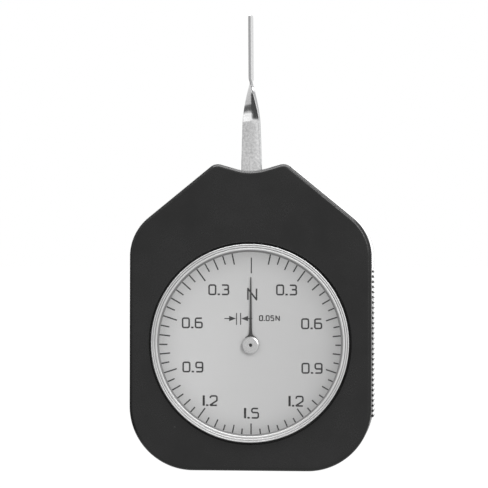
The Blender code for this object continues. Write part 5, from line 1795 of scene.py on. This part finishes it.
@dataclass
class Hand(Assembly):
    """The pointer and the turned button that holds it on the arbor."""

    front: float = -5.5 * MM
    back: float = -5.35 * MM
    eye_radius: float = 1.9 * MM
    eye_steps: int = 40
    bore: float = 0.95 * MM
    half_widths: tuple[Point2, ...] = (
        (2.10, 1.40), (2.35, 1.06), (2.75, 0.62), (3.4, 0.44), (5.1, 0.34), (9.0, 0.27), (13.0, 0.22),
        (18.2, 0.14),
    )
    curve_steps: int = 5
    broken_edge: float = 0.025 * MM
    button_radius: float = 2.3 * MM
    button_front: float = -6.35 * MM
    button_back: float = -5.55 * MM
    button_face: tuple[Point2, ...] = (
        (0.47, 0.06), (0.62, 0.03), (0.70, 0.02), (0.86, 0.02), (0.94, 0.03), (1.30, 0.03), (1.34, 0.02),
        (1.40, 0.03), (1.76, 0.012), (1.86, 0.0), (1.92, 0.0), (2.06, 0.045), (2.23, 0.105), (2.29, 0.17),
    )
    rim_down: float = 0.3 * MM
    rim_chamfer: float = 0.1 * MM
    boss_radius: float = 0.87 * MM
    boss_sunk: float = 0.05 * MM
    hole_radius: float = 0.47 * MM
    path_radius: float = 1.4 * MM
    segments: int = 96

    def outline(self) -> list[Point2]:
        """Draws the pointer about its axis: a round eye and a trumpet-shaped blade.

        Returns:
            Its points.
        """
        right = [(half * MM, along * MM) for along, half in self.smoothed()]
        foot = math.acos(right[0][0] / self.eye_radius)
        eye = arc((0.0, 0.0), self.eye_radius, math.pi - foot, math.pi + 2 * foot, self.eye_steps)
        return eye + right + [(-x, z) for x, z in reversed(right)]

    def smoothed(self) -> list[Point2]:
        """Draws a smooth curve through the blade's given half widths.

        Returns:
            Its points as (along the blade, half width), in millimetres.
        """
        given = self.half_widths
        found = []
        for number in range(len(given) - 1):
            first, second = given[number], given[number + 1]
            before = given[max(number - 1, 0)]
            after = given[min(number + 2, len(given) - 1)]
            slope_in = (second[1] - before[1]) / (second[0] - before[0])
            slope_out = (after[1] - first[1]) / (after[0] - first[0])
            span = second[0] - first[0]
            for step in range(self.curve_steps):
                t = step / self.curve_steps
                place = first[1] * (1 + 2 * t) * (1 - t) ** 2 + second[1] * t * t * (3 - 2 * t)
                place += span * (slope_in * t * (1 - t) ** 2 - slope_out * t * t * (1 - t))
                found.append((first[0] + span * t, place))
        return found + [given[-1]]

    def blade(self) -> None:
        """Builds the pointer."""
        outline = [(x + DIAL_AXIS[0], z + DIAL_AXIS[1]) for x, z in self.outline()]
        solid = Solid.loft([outline, outline], [self.front, self.back])
        made = link("pointer_hand", solid.mesh("pointer_hand"))
        carve(made, [("DIFFERENCE", rod(DIAL_AXIS, self.bore, self.front - 1 * MM, self.back + 1 * MM))])
        bevel = made.modifiers.new("broken_edges", "BEVEL")
        bevel.width, bevel.segments, bevel.limit_method = self.broken_edge, 2, "ANGLE"
        settle(made)
        self.palette.dress(made, Slot.POINTER)
        self.hand_over(made, Slot.POINTER, Body.POINTER_TRAIN, ("pointer",))

    def button(self) -> None:
        """Builds the turned button: a dished face in a raised rim, with a ring round the arbor."""
        rim, front, back = self.button_radius, self.button_front, self.button_back
        foot = self.back - self.boss_sunk
        profile = [(radius * MM, front + down * MM) for radius, down in self.button_face]
        profile += [(rim, front + self.rim_down), (rim, back - self.rim_chamfer),
                    (rim - self.rim_chamfer, back), (self.boss_radius, back), (self.boss_radius, foot),
                    (self.hole_radius, foot)]
        made = turned_ring("hub_button", profile, self.path_radius, self.segments,
                           self.palette.made[Slot.TURNED])
        stand_up(made, DIAL_AXIS, front)
        self.hand_over(made, Slot.TURNED, Body.POINTER_TRAIN, ("pointer_boss",))

    def build(self) -> None:
        """Builds the pointer and its button, and dresses the arbor with its pinion and collet."""
        self.blade()
        self.button()
        self.palette.dress_with(self.nodes["pointer_arbor"], self.palette.blued)
        self.keep(Slot.BRASS, "pointer_pinion", "hairspring_collet")


@dataclass
class FeelerStrip(Assembly):
    """The feeler: a flat steel strip with a quarter twist and a rounded, bevelled tip."""

    pivot: float = 69.6 * MM
    middle: float = -1.85 * MM
    length: float = 52.7 * MM
    foot: float = 2.3 * MM
    notch: float = 10.13 * MM
    root_width: float = 5.5 * MM
    width: float = 5.0 * MM
    thickness: float = 0.8 * MM
    chamfer: float = 0.13 * MM
    turn_start: float = 13.0 * MM
    turn: float = math.radians(-17.0)
    turn_steps: int = 12
    twist_start: float = 24.1 * MM
    twist_length: float = 11.6 * MM
    twist: float = math.radians(-92.6)
    twist_steps: int = 72
    face_steps: int = 12
    lean: float = 0.45 * MM
    straight_rises: Point2 = (0.3 * MM, 0.6 * MM)
    tip_steps: int = 9
    tip_round: float = 0.35 * MM
    tip_bevel: float = 0.8 * MM
    tip_thickness: float = 0.66 * MM
    screw_rises: Point2 = (3.92 * MM, 6.72 * MM)
    screw_radius: float = 0.8 * MM
    hole_half: float = 1.5 * MM
    hole_segments: int = 24
    map_face: float = 4.8
    map_edge: float = 0.8
    map_bevel: float = 0.2

    def section(self, rise: float, width: float, thickness: float, twist: float) -> list[Point3]:
        """Draws one cross-section, its wide faces in narrow strips.

        Args:
            rise: how far it is above the pivot.
            width: its width.
            thickness: its thickness.
            twist: its angle about the strip.

        Returns:
            Its points.
        """
        chamfer = min(self.chamfer, thickness / 4)
        wide, deep = width / 2, thickness / 2
        steps = [(wide - chamfer) * (1 - 2 * step / self.face_steps) for step in range(self.face_steps + 1)]
        corners = [(wide, deep - chamfer), *((x, deep) for x in steps), (-wide, deep - chamfer),
                   (-wide, chamfer - deep), *((-x, -deep) for x in steps), (wide, chamfer - deep)]
        lean = -self.lean * rise / self.length
        cosine, sine = math.cos(twist), math.sin(twist)
        return [(lean + x * cosine - y * sine, self.middle + x * sine + y * cosine, self.pivot + rise)
                for x, y in corners]

    def stations(self) -> list[Station]:
        """Plans the cross-sections from the foot to the tip.

        Returns:
            What section takes, for each.
        """
        found = [(rise, self.root_width, self.thickness, 0.0) for rise in (self.foot, self.notch)]
        for step in range(self.turn_steps):
            share = step / self.turn_steps
            rise = self.turn_start + (self.twist_start - self.turn_start) * share
            width = self.root_width + (self.width - self.root_width) * share
            found.append((rise, width, self.thickness, self.turn * share))
        for step in range(self.twist_steps + 1):
            share = step / self.twist_steps
            rise = self.twist_start + self.twist_length * share
            found.append((rise, self.width, self.thickness, self.turn + (self.twist - self.turn) * share))
        top = self.twist_start + self.twist_length
        found += [(top + above, self.width, self.thickness, self.twist) for above in self.straight_rises]
        start = self.length - self.tip_bevel
        found.append((start, self.width, self.thickness, self.twist))
        for step in range(self.tip_steps + 1):
            angle = math.pi / 2 * step / self.tip_steps
            rise = self.length - self.tip_round * (1 - math.sin(angle))
            width = self.width - 2 * self.tip_round * (1 - math.cos(angle))
            share = (rise - start) / self.tip_bevel
            thickness = self.thickness + (self.tip_thickness - self.thickness) * share
            found.append((rise, width, thickness, self.twist))
        return found

    def chart(self, mesh: Mesh, stations: Sequence[Station]) -> None:
        """Gives the strip a UV map in metres: round it, and along it.

        Args:
            mesh: the strip, built from the stations.
            stations: its cross-sections.
        """
        layer = mesh.uv_layers.new(name=self.palette.strip_map)
        wide, bevel = self.map_face, self.map_bevel
        half = [0.0, *(bevel + wide * step / self.face_steps for step in range(self.face_steps + 1)),
                wide + 2 * bevel]
        turn = half[-1] + self.map_edge
        around = [*half, *(turn + place for place in half), 2 * turn]
        count = len(around) - 1
        for face in mesh.polygons:
            columns = {index % count for index in face.vertices}
            wraps = len(face.vertices) == 4 and {0, count - 1} <= columns
            for corner in face.loop_indices:
                vertex = mesh.loops[corner].vertex_index
                column = vertex % count
                column = count if wraps and column == 0 else column
                layer.data[corner].uv = (around[column] * MM, stations[vertex // count][0])

    def build(self) -> None:
        """Builds the feeler, and dresses its shaft, holder and screws."""
        stations = self.stations()
        points = [point for station in stations for point in self.section(*station)]
        count = len(points) // len(stations)
        faces = [tuple(range(count))[::-1], tuple(range(len(points) - count, len(points)))]
        mesh = bpy.data.meshes.new("feeler_strip")
        mesh.from_pydata(points, [], faces + Solid.walls(len(points), count))
        self.chart(mesh, stations)
        face_outwards(mesh)
        made = link("feeler_strip", mesh)
        holes = [rod((0.0, self.pivot + rise), self.screw_radius, self.middle - self.hole_half,
                     self.middle + self.hole_half, self.hole_segments) for rise in self.screw_rises]
        carve(made, [("DIFFERENCE", Solid.together(holes))])
        self.palette.dress(made, Slot.FEELER)
        self.keep(Slot.TURNED, "feeler_shaft", "feeler_holder", "anchor_pin_left", "anchor_pin_right")
        self.keep(Slot.BRASS, "sector_gear")
        self.keep(Slot.SCREW, "feeler_screw_1", "feeler_screw_2")
        self.hand_over(made, Slot.FEELER, Body.FEELER_ARM, ("feeler",))


@dataclass
class Movement(Assembly):
    """The plates, pillars, bushes, springs and pins inside the housing, as they were packed."""

    def build(self) -> None:
        """Dresses the movement's nodes."""
        self.keep(Slot.BRASS, "movement_plate", "movement_bridge", "pillar_1", "pillar_2", "pillar_3")
        self.keep(Slot.BRONZE, "arbor_front_bush", "arbor_back_bush", "feeler_front_bush",
                  "feeler_back_bush", "hairspring")
        self.keep(Slot.TURNED, "hairspring_stud", "spring_post_left", "spring_post_right", "stop_pin_left",
                  "stop_pin_right")
        screws = [f"plate_screw_{n}" for n in (1, 2, 3, 4)] + [f"bridge_screw_{n}" for n in (1, 2, 3)]
        self.keep(Slot.SCREW, *screws)


@dataclass
class ReturnSprings(Assembly):
    """The two return springs, each hooked on a fixed post and on the feeler's anchor pin."""

    anchor: float = 3.0 * MM
    post: float = 18.0 * MM
    depth: float = 1.875 * MM
    height: float = 53.6 * MM
    wire_radius: float = 0.175 * MM
    coil_radius: float = 0.85 * MM
    loop_radius: float = 0.825 * MM
    hook_reach: float = 2.4 * MM
    hook_opening: float = math.radians(25.0)
    turns: int = 8
    turn_steps: int = 24
    loop_steps: int = 32
    sides: int = 10

    def path(self, side: int) -> list[Point3]:
        """Draws a spring's wire, from its hook on the anchor pin to its hook on the post.

        Args:
            side: 1 for the right spring, -1 for the left one.

        Returns:
            Its points.
        """
        tangent = math.acos(self.loop_radius / self.hook_reach)
        start = -tangent - self.hook_opening
        loop = arc((0.0, 0.0), self.loop_radius, start, -start + tangent - math.tau, self.loop_steps)
        flat = [(self.anchor + x, 0.0, z) for x, z in loop]
        first, last = self.anchor + self.hook_reach, self.post - self.hook_reach
        steps = self.turns * self.turn_steps
        for step in range(steps + 1):
            radius = self.coil_radius * min(1.0, 2 * min(step, steps - step) / self.turn_steps)
            angle = math.tau * step / self.turn_steps
            place = first + (last - first) * step / steps
            flat.append((place, radius * math.cos(angle), radius * math.sin(angle)))
        flat += [(self.post - x, 0.0, z) for x, z in reversed(loop)]
        return [(side * x, self.depth + y, self.height + z) for x, y, z in flat]

    def build(self) -> None:
        """Builds both springs, each from its hook on the anchor pin to its hook on the post."""
        for name, side in (("right", 1), ("left", -1)):
            points = self.path(side)
            drawn = bpy.data.meshes.new("spring_path")
            drawn.from_pydata(points, [(i, i + 1) for i in range(len(points) - 1)], [])
            made = wire_tree().run(f"return_spring_{name}_wire", drawn, self.palette.made[Slot.TURNED], {
                "Wire Radius": self.wire_radius, "Sides": self.sides})
            ease(made.data)
            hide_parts(f"return_spring_{name}")
            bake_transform(made)
            LOG.info("built %s: %d faces between %s and %s", made.name, len(made.data.polygons),
                     Body.HOUSING.value, Body.FEELER_ARM.value)


# The studio


@dataclass(frozen=True)
class Lamp:
    """A soft lamp: its place, its width, how bright its face is against white, and height over width."""

    name: str
    place: Point3
    side: float
    glow: float
    tall: float = 1.0
    aim: Point3 = (0.0, 0.0, 0.05)
    only: tuple[str, ...] = ()
    blockers: tuple[str, ...] = ()

    def hang(self) -> None:
        """Hangs the lamp where the camera sees its light but not the lamp itself."""
        data = bpy.data.lights.new(self.name, "AREA")
        data.shape, data.size, data.size_y = "RECTANGLE", self.side, self.side * self.tall
        data.energy = self.glow * math.pi * self.side ** 2 * self.tall
        lamp = bpy.data.objects.new(self.name, data)
        lamp.location = self.place
        lamp.rotation_euler = (Vector(self.aim) - Vector(self.place)).to_track_quat("-Z", "Y").to_euler()
        lamp.visible_camera = False
        bpy.context.scene.collection.objects.link(lamp)
        if self.only:
            lamp.light_linking.receiver_collection = self.gather("lights", self.only)
        if self.blockers:
            lamp.light_linking.blocker_collection = self.gather("shadows", self.blockers)

    def gather(self, use: str, names: Sequence[str]) -> bpy.types.Collection:
        """Gathers the only pieces that the lamp lights, or that cast its shadows.

        Args:
            use: what they are gathered for.
            names: the pieces.

        Returns:
            The collection that holds them.
        """
        gathered = bpy.data.collections.new(f"{self.name}_{use}")
        for name in names:
            gathered.objects.link(bpy.data.objects[name])
        return gathered


@dataclass
class Studio:
    """A pale floor, a white room and soft lamps."""

    floor_radius: float = 6.0
    floor_sides: int = 96
    floor_thickness: float = 2 * MM
    floor_white: Point2 = (0.04, 0.06)
    floor_cloud_scale: float = 3.0
    floor_roughness: float = 0.9
    floor_glow: float = 1.0
    floor_bounce: Point2 = (0.03, 0.76)
    floor_dusk_left: Point2 = (-0.06, -0.04)
    floor_dusk_slope: float = -0.1
    floor_dusk_reach: Point2 = (0.95, 1.1)
    backdrop: float = 1.0
    room_glow: float = 0.69
    room_slant: Point3 = (0.16, 0.06, 0.22)
    room_dusk_left: Point2 = (-0.1, 0.0)
    room_dusk_slope: float = 0.036
    room_dusk_reach: Point2 = (0.17, 0.24)
    room_dusk_share: float = 0.80
    lamps: tuple[Lamp, ...] = (
        Lamp("key_lamp", (0.45, -0.85, 0.46), 0.22, 12.5, 2.4,
             blockers=("case_front_moulding", "pointer_hand", "hub_button", "feeler_strip")),
        Lamp("fill_lamp", (-0.80, -0.55, 0.30), 0.50, 0.5, 1.1),
        Lamp("top_lamp", (0.08, -0.28, 1.05), 1.5, 10.0, 0.45, (0.0, 0.0, 0.06),
             ("case_front_moulding", "flank_ribs", "bezel_ring_turned", "feeler_strip")),
        Lamp("backdrop_lamp", (0.0, 2.5, 1.2), 3.0, 2.4, 1.0, (0.0, 0.0, 1.2),
             ("case_front_moulding", "flank_ribs")),
    )

    def floor(self) -> None:
        """Lays the floor under the gauge."""
        disc = rod((0.0, 0.0), self.floor_radius, 0.0, self.floor_thickness, self.floor_sides)
        mesh = disc.mesh("studio_floor")
        mesh.transform(Matrix.Rotation(-math.pi / 2, 4, "X"))
        top = max(vertex.co.z for vertex in mesh.vertices)
        mesh.transform(Matrix.Translation((0.0, 0.0, -top)))
        floor = link("studio_floor", mesh)
        made = Surface("pale_floor")
        seen = made.signal("ShaderNodeLightPath", "Is Camera Ray")
        slope = (made.depth / made.across).away(self.floor_dusk_slope)
        dusk = made.across.between(*self.floor_dusk_left, 1.0, 0.0)
        dusk = dusk * slope.between(*self.floor_dusk_reach, 1.0, 0.0)
        low, high = self.floor_bounce
        bounce = high - dusk * (high - low)
        glow = bounce + seen * (self.floor_glow - bounce)
        tones = map(grey, self.floor_white)
        floor.data.materials.append(made.close(
            Base_Color=made.colour(made.noise(self.floor_cloud_scale, 3.0), *tones),
            Roughness=self.floor_roughness, Specular_IOR_Level=0.0,
            Emission_Color=made.colour(glow, grey(0.0), grey(1.0)), Emission_Strength=1.0))

    def room(self) -> None:
        """Makes the room, white to the camera; as a light it is dimmer, and brighter up to the right."""
        world = bpy.data.worlds.new("white_room")
        world.use_nodes = True
        bench = Bench(world.node_tree)
        bench.tree.nodes.clear()
        seen = bench.signal("ShaderNodeLightPath", "Is Camera Ray")
        way = bench.add("ShaderNodeTexCoord").outputs["Generated"]
        slant = bench.signal("ShaderNodeVectorMath", "Value", {"operation": "DOT_PRODUCT"},
                             {0: way, 1: self.room_slant})
        across, depth, _ = bench.apart(way)
        slope = (depth / across).away(self.room_dusk_slope)
        dusk = slope.between(*self.room_dusk_reach, self.room_dusk_share, 0.0)
        light = (self.room_glow + slant) * (1.0 - dusk * across.between(*self.room_dusk_left, 1.0, 0.0))
        glow = bench.socket("ShaderNodeBackground", None, {
            "Color": (1.0, 1.0, 1.0, 1.0), "Strength": light + seen * (self.backdrop - light)})
        bench.add("ShaderNodeOutputWorld", None, {0: glow})
        bpy.context.scene.world = world

    def build(self) -> None:
        """Sets up the studio."""
        self.floor()
        self.room()
        for lamp in self.lamps:
            lamp.hang()
        bpy.context.scene.view_settings.view_transform = "Standard"


@dataclass
class PhotoCamera:
    """The camera, at the photograph's viewing angle."""

    aim: Point3 = (-2.31 * MM, 0.0, 60.71 * MM)
    azimuth: float = math.radians(4.8)
    distance: float = 0.700
    field: float = 131.96 * MM
    sensor: float = 36.0
    roll: float = math.radians(0.11)
    clip: Point2 = (0.01, 50.0)

    def build(self) -> None:
        """Places the camera."""
        data = bpy.data.cameras.new("photo_camera")
        data.sensor_width = self.sensor
        data.lens = self.sensor * self.distance / self.field
        data.clip_start, data.clip_end = self.clip
        camera = bpy.data.objects.new("photo_camera", data)
        back = Vector((math.sin(self.azimuth), -math.cos(self.azimuth), 0.0))
        camera.location = Vector(self.aim) + back * self.distance
        facing = (-back).to_track_quat("-Z", "Y").to_matrix().to_4x4()
        camera.rotation_euler = (facing @ Matrix.Rotation(self.roll, 4, "Z")).to_euler()
        bpy.context.scene.collection.objects.link(camera)
        bpy.context.scene.camera = camera


def main() -> None:
    """Builds the gauge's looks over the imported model, and the studio round it."""
    logging.basicConfig(level=logging.INFO, format="%(name)s: %(message)s", force=True)
    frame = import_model()
    nodes = frame["nodes"]
    palette = Palette()
    for part in (FrontMoulding, GripRibs, BackMoulding, CoverScrews, Window, DialFace, Hand, FeelerStrip,
                 Movement, ReturnSprings):
        LOG.info("now %s", part.__name__)
        part(nodes, palette).build()
    Studio().build()
    PhotoCamera().build()


if __name__ == "__main__":
    main()
